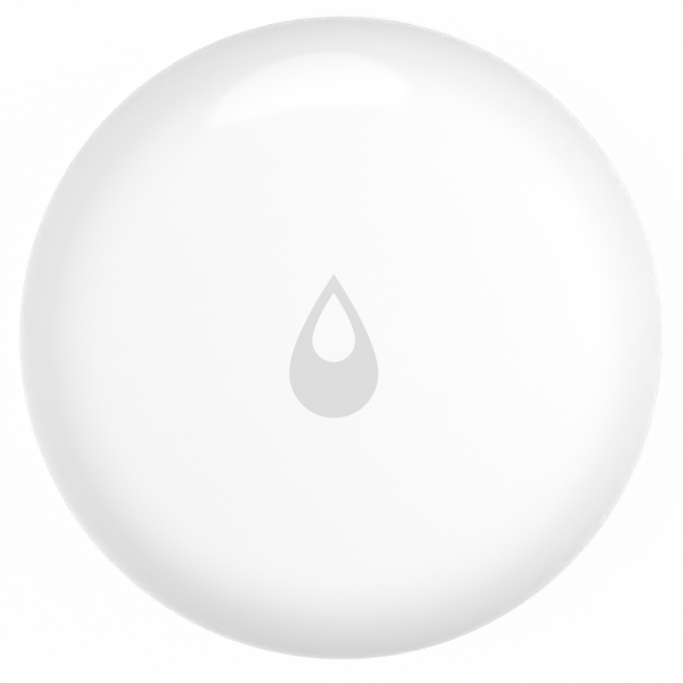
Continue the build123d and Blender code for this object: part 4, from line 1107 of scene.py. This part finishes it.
def build_world():
    """Pale surroundings: WORLD_LEVEL as light, white where they are seen directly or through a clear piece,
    and in a reflection a gradient over the height of the direction, from HORIZON_LEVEL up to white."""
    world = bpy.data.worlds.new("studio")
    bpy.context.scene.world = world
    world.use_nodes = True
    tree = world.node_tree
    tree.nodes.clear()
    path = add_node(tree, "ShaderNodeLightPath").outputs
    upward = split_axes(tree, add_node(tree, "ShaderNodeTexCoord").outputs["Generated"])[2]
    gradient = spread(tree, upward, 0.0, WHITE_FROM_HEIGHT, HORIZON_LEVEL, 1.0)
    mirrored = maths(tree, "MULTIPLY", path["Is Glossy Ray"], gradient)
    direct = maths(tree, "MAXIMUM", path["Is Camera Ray"], path["Is Transmission Ray"])
    level = maths(tree, "MAXIMUM", maths(tree, "MAXIMUM", direct, mirrored), WORLD_LEVEL)
    surroundings, end = add_node(tree, "ShaderNodeBackground"), add_node(tree, "ShaderNodeOutputWorld")
    feed_inputs(tree, surroundings, Color=(1, 1, 1, 1), Strength=level)
    feed_inputs(tree, end, Surface=surroundings.outputs[0])


def add_lamp(name, place, size, watts, shape="RECTANGLE", in_gloss=False, roll=0):
    """Soft lamp at the place, turned to LAMP_AIM: it lights the object, or only shows in its gloss."""
    data = bpy.data.lights.new(name, "AREA")
    data.shape, data.size, data.size_y, data.energy = shape, *size, watts
    lamp = bpy.data.objects.new(name, data)
    bpy.context.scene.collection.objects.link(lamp)
    lamp.location = place
    lamp.rotation_mode = "QUATERNION"
    turn = Quaternion((0, 0, 1), math.radians(roll))
    lamp.rotation_quaternion = (LAMP_AIM - Vector(place)).to_track_quat("-Z", "Y") @ turn
    lamp.visible_camera = False
    lamp.visible_glossy = in_gloss
    lamp.visible_diffuse = not in_gloss


def add_camera():
    """Camera CAMERA_AWAY from the middle of the view, upright to +Y, that shows VIEW_WIDTH there."""
    data = bpy.data.cameras.new("camera")
    data.lens = data.sensor_width * CAMERA_AWAY / VIEW_WIDTH
    data.clip_start, data.clip_end = 0.01, 20
    camera = bpy.data.objects.new("camera", data)
    bpy.context.scene.collection.objects.link(camera)
    camera.location = VIEW_MIDDLE + TOWARDS_CAMERA * CAMERA_AWAY
    across = Vector((0, 1, 0)).cross(TOWARDS_CAMERA).normalized()
    axes = Matrix((across, TOWARDS_CAMERA.cross(across), TOWARDS_CAMERA)).transposed()
    camera.rotation_mode = "QUATERNION"
    camera.rotation_quaternion = axes.to_quaternion()
    bpy.context.scene.camera = camera


build_floor()
build_world()
for lamp_name, (place, side_length, watts) in PANELS.items():
    add_lamp(lamp_name, place, (side_length, side_length), watts)
add_lamp("back_softbox", SOFTBOX_PLACE, SOFTBOX_SIZE, SOFTBOX_WATTS, "ELLIPSE", True, SOFTBOX_ROLL)
add_camera()
bpy.context.scene.view_settings.view_transform = "Standard"

bpy.context.view_layer.update()
